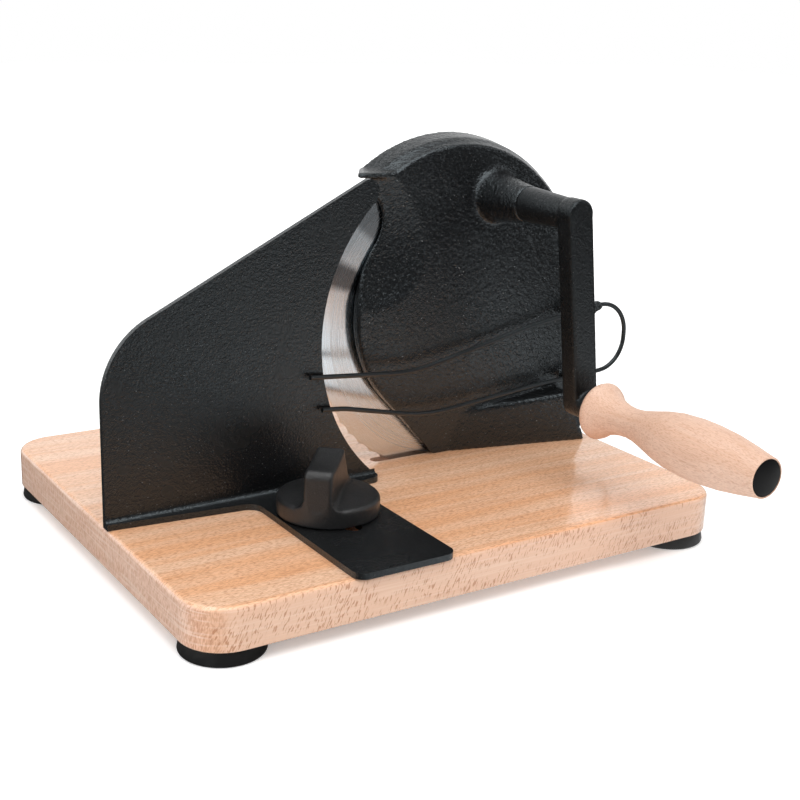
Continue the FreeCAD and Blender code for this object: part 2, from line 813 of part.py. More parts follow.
def wedge_solid(inset=0.0):
    """The housing's foot on the crank side, which widens to the right and leans in at its end."""
    direction = vec(wedge_right_x - wedge_left_x, wedge_right_y - wedge_left_y, 0)
    direction.normalize()
    shift_y = direction.x * inset
    tip = opening_corners(wall_back_y)[0] + vec(wedge_tip_inset + wedge_tip_taper * inset, 0, 0)
    left = vec(wedge_left_x + wedge_left_taper * inset, wedge_left_y + shift_y, 0)
    right = vec(wedge_right_x - inset, wedge_right_y + shift_y, 0)
    back_right = vec(wedge_right_x - inset, wall_back_y, 0)
    face = closed_face(straight_edges([tip, left, right, back_right]))
    body = face.extrude(vec(0, 0, trim_reach))
    # The ledge rises to the right
    slope = (wedge_right_height - wedge_left_height) / (wedge_right_x - wedge_left_x)
    z_left = wedge_left_height - slope * trim_reach - inset
    z_right = wedge_right_height + slope * trim_reach - inset
    x_left = wedge_left_x - trim_reach
    x_right = wedge_right_x + trim_reach
    above = polygon_xz([(x_left, z_left), (x_right, z_right), (x_right, z_right + trim_reach),
                        (x_left, z_left + trim_reach)], -trim_reach)
    body = body.cut(slab_xz(straight_edges(above), -trim_reach, trim_reach))
    lean = math.tan(math.radians(wedge_end_lean))
    end_x = wedge_right_x - inset
    end = slab_xz(straight_edges(polygon_xz(
        [(end_x, 0), (end_x + trim_reach, 0), (end_x + trim_reach, trim_reach),
         (end_x - trim_reach * lean, trim_reach)], -trim_reach)), -trim_reach, wall_back_y)
    return body.cut(end)


def lug_line(points):
    """Start and end of a lug on the wire's run between two route points."""
    first, second = points
    direction = second - first

    def at_x(x):
        return first + direction * ((x - first.x) / direction.x)

    return at_x(side_x - lug_length), at_x(side_x)


def wire_route():
    end_y = plate_front_y - wire_plate_gap
    points = [vec(side_x + x, face_y - ahead, z) for x, ahead, z in wire_upper + wire_lower]
    x, ahead, z = wire_last_bend
    last = vec(cutout_left_x + x, face_y - ahead, z)
    start = vec(cutout_left_x + wire_upper_end[0], end_y, wire_upper_end[1])
    end = vec(cutout_left_x + wire_lower_end[0], end_y, wire_lower_end[1])
    return [start] + points + [last, end]


def wire_path():
    """Straight runs joined by tangent arcs through the route's corners."""
    points = wire_route()
    edges = []
    cursor = points[0]
    for index in range(1, len(points) - 1):
        corner = points[index]
        before = (points[index - 1] - corner).normalize()
        after = (points[index + 1] - corner).normalize()
        turn = math.pi - before.getAngle(after)
        reach = wire_bend_radii[index - 1] * math.tan(turn / 2)
        start = corner + before * reach
        end = corner + after * reach
        bisector = (before + after).normalize()
        radius = wire_bend_radii[index - 1]
        centre = corner + bisector * (radius / math.cos(turn / 2))
        mid = centre - bisector * radius
        edges.append(line(cursor, start))
        edges.append(arc(start, mid, end))
        cursor = end
    edges.append(line(cursor, points[-1]))
    return edges


def tube(edges, radius):
    path = Part.Wire(edges)
    start = path.Vertexes[0].Point
    direction = edges[0].tangentAt(edges[0].FirstParameter)
    circle = Part.Wire(Part.makeCircle(radius, start, direction))
    return path.makePipeShell([circle], True, False)


def make_casting():
    outer = rim_solid().fuse(slab_xz(rim_sections()[0], front_edge_y, face_y)).removeSplitter()
    front = edges_near(outer, lambda e: e.BoundBox.YMax < face_y + 1e-4 and middle(e).z > overshoot
                       and middle(e).x > visor_tip_x + rim_wall)
    outer = outer.makeFillet(front_edge_round, front)
    inner = rim_solid(rim_wall)
    behind = box((-trim_reach, wall_back_y, -trim_reach), (trim_reach, trim_reach, trim_reach))
    inner = inner.common(behind)
    tail = slab_xz(rim_sections(rim_wall)[2], rim_back_y, rim_back_y + overshoot)
    rim = outer.cut(inner).cut(tail)

    # The rim stands behind the face wall only; the face wall is bounded by its opening edge
    opening = slab_xz(opening_edge(face_y - overshoot), face_y - overshoot, wall_back_y)
    face_wall = outer.common(opening)
    far = (trim_reach, trim_reach, trim_reach)
    visor_zone = box((-trim_reach, face_y - overshoot, visor_z - rim_wall), far)
    rim = rim.common(behind.fuse(visor_zone))
    slant = math.atan2(visor_back_x - visor_tip_x, rim_back_y)
    knife = box((-trim_reach, -trim_reach, -trim_reach), (0, trim_reach, trim_reach))
    knife.rotate(origin, z_axis, -math.degrees(slant))
    knife.translate(vec(visor_tip_x, front_edge_y, 0))
    ahead = box((-trim_reach, -trim_reach, -trim_reach), (trim_reach, front_edge_y, trim_reach))
    rim = rim.cut(knife.cut(ahead))

    # Thicker neck and lip close to the blade
    lip = slab_xz(opening_edge(wall_back_y), wall_back_y, lip_back_y).common(outer)
    gear_tip = gear_module * (blade_gear_teeth / 2 + 1)
    pinion_tip = gear_module * (pinion_teeth / 2 + 1)
    pocket_y = wall_back_y - overshoot
    lip = lip.cut(rod_y(gear_tip + gear_pocket_gap, blade_centre_x, blade_centre_z, pocket_y, blade_back_y))
    lip = lip.cut(rod_y(pinion_tip + gear_pocket_gap, crank_x, crank_z, pocket_y, blade_back_y))
    far_corner = (trim_reach, blade_back_y, trim_reach)
    lip = lip.cut(box((blade_centre_x - neck_web_width, pocket_y, foot_web_height), far_corner))
    lip = lip.cut(box((blade_centre_x - foot_web_width, pocket_y, -overshoot), far_corner))

    # Shallow dome over the gear, with a boss for the axle inside
    dome_radius = blade_radius - dome_inset
    sphere_radius = (dome_radius ** 2 + dome_height ** 2) / (2 * dome_height)
    dome_centre_y = face_y - dome_height + sphere_radius
    sphere = Part.makeSphere(sphere_radius, vec(blade_centre_x, dome_centre_y, blade_centre_z))
    dome_front_y = face_y - dome_height - overshoot
    front_zone = slab_xz(opening_edge(dome_front_y), dome_front_y, face_y)
    dome = sphere.common(front_zone)
    hollow = Part.makeSphere(sphere_radius - casting_wall,
                             vec(blade_centre_x, dome_centre_y, blade_centre_z))
    hollow_radius = gear_module * blade_gear_teeth / 2 - dome_hollow_inset
    hollow = hollow.common(rod_y(hollow_radius, blade_centre_x, blade_centre_z,
                                 face_y - dome_height, wall_back_y))
    axle_boss = rod_y(axle_diameter / 2 + axle_boss_wall, blade_centre_x, blade_centre_z,
                      face_y - dome_height + casting_wall / 2, boss_end_y)

    # Crank boss
    boss = turned_y([
        (0, face_y), (boss_base_radius + boss_flare, face_y),
        (boss_base_radius + boss_flare_step, face_y - boss_flare * 0.45),
        (boss_base_radius, face_y - boss_flare * 1.3),
        (boss_tip_radius, boss_tip_y), (0, boss_tip_y)], crank_x, crank_z)

    # Foot: a hollow wedge in front, a pad behind
    wedge = wedge_solid()
    half_length = (wedge_right_x - wedge_left_x) / 2
    top_edge = edges_near(wedge, lambda e: middle(e).z > wedge_left_height / 2
                          and middle(e).y < (wedge_left_y + face_y) / 2 and e.Length > half_length)
    wedge = wedge.makeFillet(wedge_edge_round, top_edge)
    below_face = box((-trim_reach, -trim_reach, -trim_reach), (trim_reach, face_y, trim_reach))
    wedge = wedge.cut(wedge_solid(casting_wall).common(below_face))
    # The pad behind stays clear of the blade's lower right
    pad_reach = math.sqrt((blade_radius + rear_pad_gap) ** 2 - (blade_centre_z - rear_pad_height) ** 2)
    pad = box((blade_centre_x + pad_reach, face_y, 0), (side_x, rim_back_y, rear_pad_height))

    body = face_wall.fuse([rim, lip, dome, boss, wedge, pad])
    body = body.cut(hollow).fuse(axle_boss)

    # Scooped neck under the visor
    scoop_y = face_y - math.sqrt(scoop_radius ** 2 - scoop_circle ** 2)
    scoop_distance = blade_radius - scoop_inset
    scoop_turn = math.radians(scoop_angle)
    scoop_x = blade_centre_x + scoop_distance * math.cos(scoop_turn)
    scoop_z = blade_centre_z + scoop_distance * math.sin(scoop_turn)
    scoop = Part.makeSphere(scoop_radius, vec(scoop_x, scoop_y, scoop_z))
    below_visor = (trim_reach, trim_reach, visor_z - rim_wall)
    scoop = scoop.common(box((-trim_reach, face_y - dome_height - overshoot, 0), below_visor))
    body = body.cut(scoop)

    # Screw bosses inside the foot
    for x, y in frame_screw_places:
        if y < face_y:
            post_radius = frame_screw_diameter / 2 + frame_post_wall
            post = rod_z(post_radius, x, y, 0, frame_screw_bite + frame_post_cover)
            body = body.fuse(post.common(wedge_solid()))

    # Lugs for the slice guide
    points = wire_route()
    for pair in ((points[2], points[3]), (points[5], points[4])):
        start, end = lug_line(pair)
        lug = rod(lug_radius, start, end)
        web = box((start.x + lug_web_inset, start.y - lug_web_overlap, start.z - lug_radius + lug_web_drop),
                  (side_x - rim_wall, wall_back_y - lug_web_overlap, start.z + lug_radius))
        body = body.fuse([lug, web])
    body = body.cut(tube(wire_path(), wire_diameter / 2 + wire_hole_clearance))

    # Bores
    body = body.cut(rod_y(crank_bush_diameter / 2, crank_x, crank_z,
                          boss_tip_y - overshoot, wall_back_y + overshoot))
    body = body.cut(rod_y(axle_diameter / 2, blade_centre_x, blade_centre_z,
                          axle_front_y, boss_end_y + overshoot))
    for x, y in frame_screw_places:
        hole_top = frame_screw_bite + screw_hole_spare
        body = body.cut(rod_z(frame_screw_diameter / 2, x, y, -overshoot, hole_top))
    return body.removeSplitter()


def make_frame_screws():
    screws = []
    for x, y in frame_screw_places:
        seat = -board_thickness + frame_recess_depth - frame_washer_thickness
        shank = rod_z(frame_screw_diameter / 2, x, y, seat, frame_screw_bite)
        r = frame_screw_head_diameter / 2
        low = seat - frame_screw_head_height
        head = turned_z([(0, seat), (r, seat), (r, seat - frame_screw_head_edge),
                         (r - frame_screw_head_chamfer, low), (0, low)], x, y)
        cross = cross_recess(x, y, low, frame_screw_cross_length, frame_screw_cross_width,
                             frame_screw_cross_depth)
        screws.append(head.fuse(shank).cut(cross))
    return Part.makeCompound(screws)


def make_frame_washers():
    washers = []
    for x, y in frame_screw_places:
        top = -board_thickness + frame_recess_depth
        outer = rod_z(frame_washer_diameter / 2, x, y, top - frame_washer_thickness, top)
        hole = frame_screw_diameter / 2 + washer_clearance
        low = top - frame_washer_thickness - overshoot
        washers.append(outer.cut(rod_z(hole, x, y, low, top + overshoot)))
    return Part.makeCompound(washers)


def shaft_flat(radius, y_start, y_end):
    """A flat on one side of a round journal, as a shape to take away or to leave."""
    high = radius + overshoot
    return box((crank_x - high, y_start, crank_z + radius - shaft_flat_depth),
               (crank_x + high, y_end, crank_z + high))


def make_crank_shaft():
    body = rod_y(shaft_diameter / 2, crank_x, crank_z, shaft_end_y, pinion_front_y)
    journal = rod_y(shaft_journal_diameter / 2, crank_x, crank_z, pinion_front_y, pinion_back_y)
    journal = journal.cut(shaft_flat(shaft_journal_diameter / 2, pinion_front_y, pinion_back_y + overshoot))
    body = body.fuse(journal)
    half_seat = grub_seat_length / 2
    seat = shaft_flat(shaft_diameter / 2, grub_screw_y - half_seat, grub_screw_y + half_seat)
    seat.rotate(vec(crank_x, 0, crank_z), y_axis, 90)
    return body.cut(seat)


def make_pinion():
    tooth_pitch = 360.0 / pinion_teeth
    face = gear_face(pinion_teeth, crank_x, crank_z, pinion_front_y,
                     crank_bearing_angle + 180 + tooth_pitch / 2)
    body = face.extrude(vec(0, pinion_back_y - pinion_front_y, 0))
    start_y = pinion_front_y - overshoot
    end_y = pinion_back_y + overshoot
    bore = rod_y(shaft_journal_diameter / 2, crank_x, crank_z, start_y, end_y)
    bore = bore.cut(shaft_flat(shaft_journal_diameter / 2, start_y - overshoot, end_y + overshoot))
    return body.cut(bore)


def make_crank_bushes():
    bushes = []
    for y_start in (boss_tip_y, wall_back_y - crank_bush_length):
        y_end = y_start + crank_bush_length
        outer = rod_y(crank_bush_diameter / 2, crank_x, crank_z, y_start, y_end)
        bore = rod_y(shaft_diameter / 2 + shaft_clearance, crank_x, crank_z,
                     y_start - overshoot, y_end + overshoot)
        bushes.append(outer.cut(bore))
    return Part.makeCompound(bushes)


def make_crank_arm():
    hub_start = boss_tip_y - running_gap
    hub = Part.makeCone(hub_arm_radius, boss_tip_radius, hub_start - arm_back_y,
                        vec(crank_x, arm_back_y, crank_z), y_axis)
    half = arm_width / 2
    left_top = vec(-half, 0, -arm_shoulder_drop)
    right_top = vec(half, 0, -arm_shoulder_drop)
    left_low = vec(-half, 0, -crank_radius)
    right_low = vec(half, 0, -crank_radius)
    outline = [
        arc(left_top, vec(0, 0, arm_top_radius), right_top), line(right_top, right_low),
        arc(right_low, vec(0, 0, -crank_radius - half), left_low), line(left_low, left_top)]
    arm = closed_face(outline).extrude(vec(0, arm_thickness, 0))
    front = edges_near(arm, lambda e: e.BoundBox.YMax < 1e-6)
    back = edges_near(arm, lambda e: e.BoundBox.YMin > arm_thickness - 1e-6)
    arm = arm.makeFillet(arm_edge_round, front + back)
    arm.rotate(origin, y_axis, -crank_tilt)
    arm.translate(vec(crank_x, arm_front_y, crank_z))
    boss_front_y = arm_front_y - arm_boss_length
    end_boss = Part.makeCone(arm_boss_radius, half, arm_boss_length,
                             vec(handle_x, boss_front_y, handle_z), y_axis)
    body = arm.fuse([hub, end_boss])
    body = body.cut(rod_y(shaft_diameter / 2, crank_x, crank_z, shaft_end_y, hub_start + overshoot))
    beyond = arm_back_y + overshoot
    spindle = rod_y(spindle_diameter / 2, handle_x, handle_z, boss_front_y - overshoot, beyond)
    sink = rod_y(spindle_head_diameter / 2, handle_x, handle_z, arm_back_y - spindle_head_height, beyond)
    body = body.cut(spindle.fuse(sink))
    reach = crank_x + boss_base_radius
    return body.cut(rod(grub_screw_diameter / 2, vec(crank_x, grub_screw_y, crank_z),
                        vec(reach, grub_screw_y, crank_z)))


def make_grub_screw():
    start_x = crank_x + shaft_diameter / 2 - shaft_flat_depth
    body = rod(grub_screw_diameter / 2, vec(start_x, grub_screw_y, crank_z),
               vec(start_x + grub_screw_length, grub_screw_y, crank_z))
    half = grub_socket_width / 2
    socket = box((start_x + grub_screw_length - grub_socket_depth, grub_screw_y - half, crank_z - half),
                 (start_x + grub_screw_length + overshoot, grub_screw_y + half, crank_z + half))
    return body.cut(socket)


def make_handle_spindle():
    spindle_end_y = handle_end_y + end_pocket_depth
    body = rod_y(spindle_diameter / 2, handle_x, handle_z, spindle_end_y, arm_back_y)
    head = rod_y(spindle_head_diameter / 2, handle_x, handle_z, arm_back_y - spindle_head_height, arm_back_y)
    body = body.fuse(head)
    return body.cut(rod_y(handle_screw_diameter / 2, handle_x, handle_z, spindle_end_y - overshoot,
                          spindle_end_y + handle_screw_length))


def make_handle():
    """Turned beech handle: a mushroom flange, a slim neck and a long swelling grip."""
    flange = handle_flange_radius
    neck = handle_neck_radius
    grip = handle_grip_radius
    start = handle_start_y
    # Radius at a share of the handle's length
    shape = [
        (flange * 0.89, 0.0), (flange, 0.022), (flange * 0.94, 0.037), (flange * 0.85, 0.054),
        (neck * 1.36, 0.090), (neck * 1.18, 0.127), (neck * 1.05, 0.168), (neck, 0.218),
        (neck * 1.08, 0.273),
        (grip * 0.69, 0.345), (grip * 0.84, 0.418), (grip * 0.945, 0.491), (grip, 0.601),
        (grip * 0.99, 0.683), (grip * 0.925, 0.792), (grip * 0.805, 0.892)]
    points = [vec(handle_x + r, start - share * handle_length, handle_z) for r, share in shape]
    points.append(vec(handle_x + handle_end_radius, handle_end_y + handle_end_round, handle_z))
    curve = Part.BSplineCurve()
    curve.interpolate(points)
    end_rim = vec(handle_x + handle_end_radius - handle_end_round, handle_end_y, handle_z)
    axis_end = vec(handle_x, handle_end_y, handle_z)
    axis_start = vec(handle_x, start, handle_z)
    face = closed_face([curve.toShape(), line(points[-1], end_rim), line(end_rim, axis_end),
                        line(axis_end, axis_start), line(axis_start, points[0])])
    body = face.revolve(axis_start, y_axis, 360)
    bore = spindle_diameter / 2 + handle_bore_clearance
    front = handle_end_y - overshoot
    body = body.cut(rod_y(bore, handle_x, handle_z, front, start + overshoot))
    body = body.cut(rod_y(end_pocket_radius, handle_x, handle_z, front, handle_end_y + end_pocket_depth))
    return body.cut(rod_y(end_cap_radius, handle_x, handle_z, front, handle_end_y + end_cap_depth))


def make_handle_washer():
    washer_y = handle_end_y + end_pocket_depth - running_gap
    front_y = washer_y - handle_washer_thickness
    outer = rod_y(end_pocket_radius - running_gap, handle_x, handle_z, front_y, washer_y)
    outer = outer.fuse(rod_y(spindle_diameter / 2, handle_x, handle_z, washer_y, washer_y + running_gap))
    return outer.cut(rod_y(handle_screw_diameter / 2, handle_x, handle_z,
                           front_y - overshoot, washer_y + overshoot))


def make_handle_screw():
    seat = handle_end_y + end_pocket_depth - running_gap - handle_washer_thickness
    shank = rod_y(handle_screw_diameter / 2, handle_x, handle_z, seat, seat + handle_screw_length)
    head = rod_y(handle_screw_head_diameter / 2, handle_x, handle_z, seat - handle_screw_head_height, seat)
    half = handle_socket_width / 2
    socket = box((handle_x - half, seat - handle_screw_head_height - overshoot, handle_z - half),
                 (handle_x + half, seat - handle_socket_floor, handle_z + half))
    return shank.fuse(head).cut(socket)


def make_end_cap():
    return turned_y([
        (0, handle_end_y - end_cap_bulge), (end_cap_radius * 0.6, handle_end_y - end_cap_bulge * 0.75),
        (end_cap_radius - end_cap_edge, handle_end_y - end_cap_bulge * 0.25),
        (end_cap_radius, handle_end_y + end_cap_bulge * 0.5), (end_cap_radius, handle_end_y + end_cap_depth),
        (0, handle_end_y + end_cap_depth)], handle_x, handle_z)


def plate_upright():
    """The upright wall: rounded left corner, sloping top edge, rounded tip and a round cut-out."""
    y = plate_back_y
    left_x = board_left_x
    corner = plate_corner_radius
    centre = vec(left_x + corner, y, plate_corner_height)
    cx = blade_centre_x
    cz = blade_centre_z
    # The cut-out's circle ends under the tip, whose outer corner lies above it
    end_angle = math.radians(plate_tip_angle)
    cut_top = vec(cx + cutout_radius * math.cos(end_angle), y, cz + cutout_radius * math.sin(end_angle))
    tip = cut_top + vec(plate_tip_lead, 0, plate_tip_rise)
    # The top edge is tangent to the corner's arc, which is tangent to the upright left edge
    to_tip = tip - centre
    tangent_angle = math.atan2(to_tip.z, to_tip.x) + math.acos(corner / to_tip.Length)
    arc_mid_angle = (math.pi + tangent_angle) / 2
    arc_start = vec(left_x, y, plate_corner_height)
    arc_mid = centre + vec(corner * math.cos(arc_mid_angle), 0, corner * math.sin(arc_mid_angle))
    arc_end = centre + vec(corner * math.cos(tangent_angle), 0, corner * math.sin(tangent_angle))
    # The tip's corner, between the top edge and the upright side, is rounded
    top_angle = tangent_angle - math.pi / 2
    half_angle = (math.pi / 2 - top_angle) / 2
    run = plate_tip_radius / math.tan(half_angle)
    tip_start = tip - vec(run * math.cos(top_angle), 0, run * math.sin(top_angle))
    tip_end = tip - vec(0, 0, run)
    inwards = plate_tip_radius / math.sin(half_angle) - plate_tip_radius
    tip_mid = tip - vec(inwards * math.sin(half_angle), 0, inwards * math.cos(half_angle))
    tip_low = cut_top + vec(plate_tip_lead, 0, plate_tip_side)
    cut_low = vec(cx - math.sqrt(cutout_radius ** 2 - (flange_thickness - cz) ** 2), y, flange_thickness)
    cut_mid = vec(cutout_left_x, y, cz)
    edges = [
        line(vec(left_x, y, 0), arc_start), arc(arc_start, arc_mid, arc_end), line(arc_end, tip_start),
        arc(tip_start, tip_mid, tip_end), line(tip_end, tip_low), line(tip_low, cut_top),
        arc(cut_top, cut_mid, cut_low), line(cut_low, vec(cut_low.x, y, 0)),
        line(vec(cut_low.x, y, 0), vec(left_x, y, 0))]
    return slab_xz(edges, plate_back_y, plate_front_y), cut_low.x


def plate_foot():
    """The flat foot: a narrow flange in front of the wall that runs out into the long tongue."""
    left_x = board_left_x
    front = plate_front_y
    tongue_front = board_front_y - tongue_overhang
    flange_front = front - flange_mid_depth
    root = tongue_root_radius
    r = tongue_corner_radius
    # An arc's middle lies this share of its radius inside the corner
    inside = 1 - math.sqrt(0.5)
    k = r * inside
    flange_left = vec(left_x, front - flange_left_depth, 0)
    root_start = vec(tongue_left_x - root, flange_front, 0)
    root_mid = vec(tongue_left_x - root * inside, flange_front - root * inside, 0)
    root_end = vec(tongue_left_x, flange_front - root, 0)
    left_start = vec(tongue_left_x, tongue_front + r, 0)
    left_mid = vec(tongue_left_x + k, tongue_front + k, 0)
    left_end = vec(tongue_left_x + r, tongue_front, 0)
    right_start = vec(tongue_right_x - r, tongue_front, 0)
    right_mid = vec(tongue_right_x - k, tongue_front + k, 0)
    right_end = vec(tongue_right_x, tongue_front + r, 0)
    inner_corner = vec(tongue_right_x, flange_front, 0)
    end_start = vec(flange_right_x - flange_right_run, front - flange_right_depth, 0)
    end_mid = vec(flange_right_x - flange_right_bulge, front - flange_right_depth * 0.62, 0)
    end = vec(flange_right_x, front, 0)
    back_right = vec(flange_right_x - flange_right_lean, plate_back_y, 0)
    back_left = vec(left_x, plate_back_y, 0)
    outline = [
        line(back_left, flange_left), line(flange_left, root_start), arc(root_start, root_mid, root_end),
        line(root_end, left_start), arc(left_start, left_mid, left_end), line(left_end, right_start),
        arc(right_start, right_mid, right_end), line(right_end, inner_corner), line(inner_corner, end_start),
        arc(end_start, end_mid, end), line(end, back_right), line(back_right, back_left)]
    return closed_face(outline).extrude(vec(0, 0, flange_thickness))


def make_stop_plate():
    """Upright wall and flat foot in one piece, with a fillet in the inner bend and a slot for the bolt."""
    upright, right_x = plate_upright()
    left_x = board_left_x
    fillet_y = plate_front_y - flange_fillet
    fillet_z = flange_thickness + flange_fillet
    bend = box((left_x, fillet_y, flange_thickness), (right_x, plate_front_y, fillet_z))
    bend = bend.cut(rod(flange_fillet, vec(left_x - overshoot, fillet_y, fillet_z),
                        vec(right_x + overshoot, fillet_y, fillet_z)))
    body = upright.fuse(plate_foot()).fuse(bend).removeSplitter()
    slot_width = clamp_bolt_diameter + 2 * clamp_slot_clearance
    slot = slot_outline(knob_x, knob_y - plate_travel - clamp_slot_reserve, knob_y, slot_width, -overshoot)
    body = body.cut(slot.extrude(vec(0, 0, flange_thickness + 2 * overshoot)))
    for key_y in (front_key_y, back_key_y):
        peg_y = key_y + key_length / 2
        body = body.cut(rod_z(key_peg_diameter / 2, knob_x, peg_y, -overshoot, key_peg_height))
    return body


def make_guide_keys():
    keys = []
    for key_y in (front_key_y, back_key_y):
        half = key_width / 2
        block = box((knob_x - half, key_y, -key_drop), (knob_x + half, key_y + key_length, 0))
        uprights = edges_near(block, lambda e: e.BoundBox.ZLength > key_drop - 1e-6)
        block = block.makeFillet(key_corner_radius, uprights)
        peg = rod_z(key_peg_diameter / 2, knob_x, key_y + key_length / 2, 0, key_peg_height)
        keys.append(block.fuse(peg))
    return Part.makeCompound(keys)


def make_knob():
    """Round knob with a tall grip fin; the fin's front end is flush with the rim."""
    base = knob_base_z
    rim_top = base + knob_rim_height
    disc = turned_z([
        (0, base), (knob_radius, base), (knob_radius, rim_top - knob_edge_round),
        (knob_radius - knob_edge_round, rim_top), (0, rim_top + knob_cone_height)], knob_x, knob_y)
    # Side view of the fin, from the front rim towards the back
    inside = 1 - math.sqrt(0.5)
    front_x = fin_front_lean - knob_radius
    front_z = base + fin_front_height
    top_x = fin_top_length - knob_radius
    top_z = base + fin_back_height
    end_x = fin_length - knob_radius
    low_front = vec(-knob_radius, 0, base)
    high_front = vec(front_x, 0, front_z - fin_front_round)
    bend_front = vec(front_x + fin_front_round * inside, 0, front_z - fin_front_round * inside)
    top_front = vec(front_x + fin_front_round, 0, front_z)
    top_mid = vec((top_front.x + top_x) / 2, 0, (front_z + top_z) / 2 - fin_sag)
    top_back = vec(top_x - fin_back_round, 0, top_z)
    bend_back = vec(top_x - fin_back_round * inside, 0, top_z - fin_back_round * inside)
    high_back = vec(top_x, 0, top_z - fin_back_round)
    low_back = vec(end_x, 0, rim_top + fin_end_height)
    end = vec(end_x, 0, base)
    side = closed_face([
        line(low_front, high_front), arc(high_front, bend_front, top_front),
        arc(top_front, top_mid, top_back), arc(top_back, bend_back, high_back),
        line(high_back, low_back), line(low_back, end), line(end, low_front)])
    half = fin_width / 2
    fin = side.extrude(vec(0, fin_width, 0))
    fin.translate(vec(0, -half, 0))
    long_edges = edges_near(fin, lambda e: middle(e).z > rim_top and e.BoundBox.YLength < 1e-6)
    fin = fin.makeFillet(fin_edge_round, long_edges)
    # Concave foot on both sides of the fin
    foot = side.extrude(vec(0, fin_width + 2 * fin_foot_round, 0))
    foot.translate(vec(0, -half - fin_foot_round, 0))
    foot_low = box((-knob_radius, -half - fin_foot_round, base),
                   (knob_radius, half + fin_foot_round, rim_top + fin_foot_round))
    foot = foot.common(foot_low)
    for side_y in (-half - fin_foot_round, half + fin_foot_round):
        foot = foot.cut(rod(fin_foot_round, vec(-knob_radius - overshoot, side_y, rim_top + fin_foot_round),
                            vec(knob_radius, side_y, rim_top + fin_foot_round)))
    fin = fin.fuse(foot)
    fin.rotate(origin, z_axis, 90 - fin_turn)
    fin.translate(vec(knob_x, knob_y, 0))
    fin = fin.common(rod_z(knob_radius, knob_x, knob_y, base, top_z + overshoot))
    body = disc.fuse(fin)
    recess_radius = clamp_washer_diameter / 2 + recess_clearance
    body = body.cut(rod_z(recess_radius, knob_x, knob_y, base - overshoot, insert_base_z))
    insert_top = insert_base_z + knob_insert_length
    body = body.cut(rod_z(knob_insert_diameter / 2, knob_x, knob_y, base - overshoot, insert_top))
    bolt_hole = clamp_bolt_diameter / 2 + running_gap
    return body.cut(rod_z(bolt_hole, knob_x, knob_y, base, clamp_bolt_top + screw_hole_spare))


def make_knob_insert():
    high = insert_base_z + knob_insert_length
    outer = rod_z(knob_insert_diameter / 2, knob_x, knob_y, insert_base_z, high)
    bore = clamp_bolt_diameter / 2 + shaft_clearance
    return outer.cut(rod_z(bore, knob_x, knob_y, insert_base_z - overshoot, high + overshoot))


def make_clamp_washer():
    outer = rod_z(clamp_washer_diameter / 2, knob_x, knob_y, knob_base_z, washer_top_z)
    bore = clamp_bolt_diameter / 2 + shaft_clearance
    return outer.cut(rod_z(bore, knob_x, knob_y, knob_base_z - overshoot, washer_top_z + overshoot))


def make_clamp_bolt():
    seat = clamp_seat_z - clamp_bolt_washer_thickness
    shank = rod_z(clamp_bolt_diameter / 2, knob_x, knob_y, seat, clamp_bolt_top)
    r = clamp_bolt_head_diameter / 2
    low = seat - clamp_bolt_head_height
    head = turned_z([(0, seat), (r, seat), (r, low + clamp_bolt_head_edge),
                     (r - clamp_bolt_head_chamfer, low + clamp_bolt_head_rim), (0, low)], knob_x, knob_y)
    return head.fuse(shank)


def make_clamp_bolt_washer():
    low = clamp_seat_z - clamp_bolt_washer_thickness
    outer = rod_z(clamp_bolt_washer_diameter / 2, knob_x, knob_y, low, clamp_seat_z)
    hole = clamp_bolt_diameter / 2 + washer_clearance
    return outer.cut(rod_z(hole, knob_x, knob_y, low - overshoot, clamp_seat_z + overshoot))


def make_wire():
    return tube(wire_path(), wire_diameter / 2)


makers = {
    "base_board": make_board,
    "rubber_feet": make_feet,
    "foot_screws": make_foot_screws,
    "frame_casting": make_casting,
    "frame_screws": make_frame_screws,
    "frame_screw_washers": make_frame_washers,
    "blade": make_blade,
    "blade_gear": make_blade_gear,
    "gear_rivets": make_rivets,
    "blade_bush": make_blade_bush,
    "blade_axle": make_blade_axle,
    "blade_thrust_washer": make_thrust_washer,
    "blade_cap_washer": make_cap_washer,
    "blade_screw": make_blade_screw,
    "crank_shaft": make_crank_shaft,
    "drive_pinion": make_pinion,
    "crank_bushes": make_crank_bushes,
    "crank_arm": make_crank_arm,
    "crank_grub_screw": make_grub_screw,
    "handle_spindle": make_handle_spindle,
    "wooden_handle": make_handle,
    "handle_washer": make_handle_washer,
    "handle_screw": make_handle_screw,
    "handle_end_cap": make_end_cap,
    "stop_plate": make_stop_plate,
    "guide_keys": make_guide_keys,
    "clamp_knob": make_knob,
    "knob_insert": make_knob_insert,
    "clamp_washer": make_clamp_washer,
    "clamp_bolt": make_clamp_bolt,
    "clamp_bolt_washer": make_clamp_bolt_washer,
    "slice_guide_wire": make_wire,
}

os.makedirs("parts", exist_ok=True)
for name, make in makers.items():
    shape = make()
    shape.translate(frame_shift)
    shape.exportStep(f"parts/{name}.step")
    print(name, len(shape.Solids), "solid(s), valid:", shape.isValid(), "volume %.0f" % shape.Volume)
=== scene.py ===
import math

import bmesh
import bpy
from mathutils import Matrix, Vector


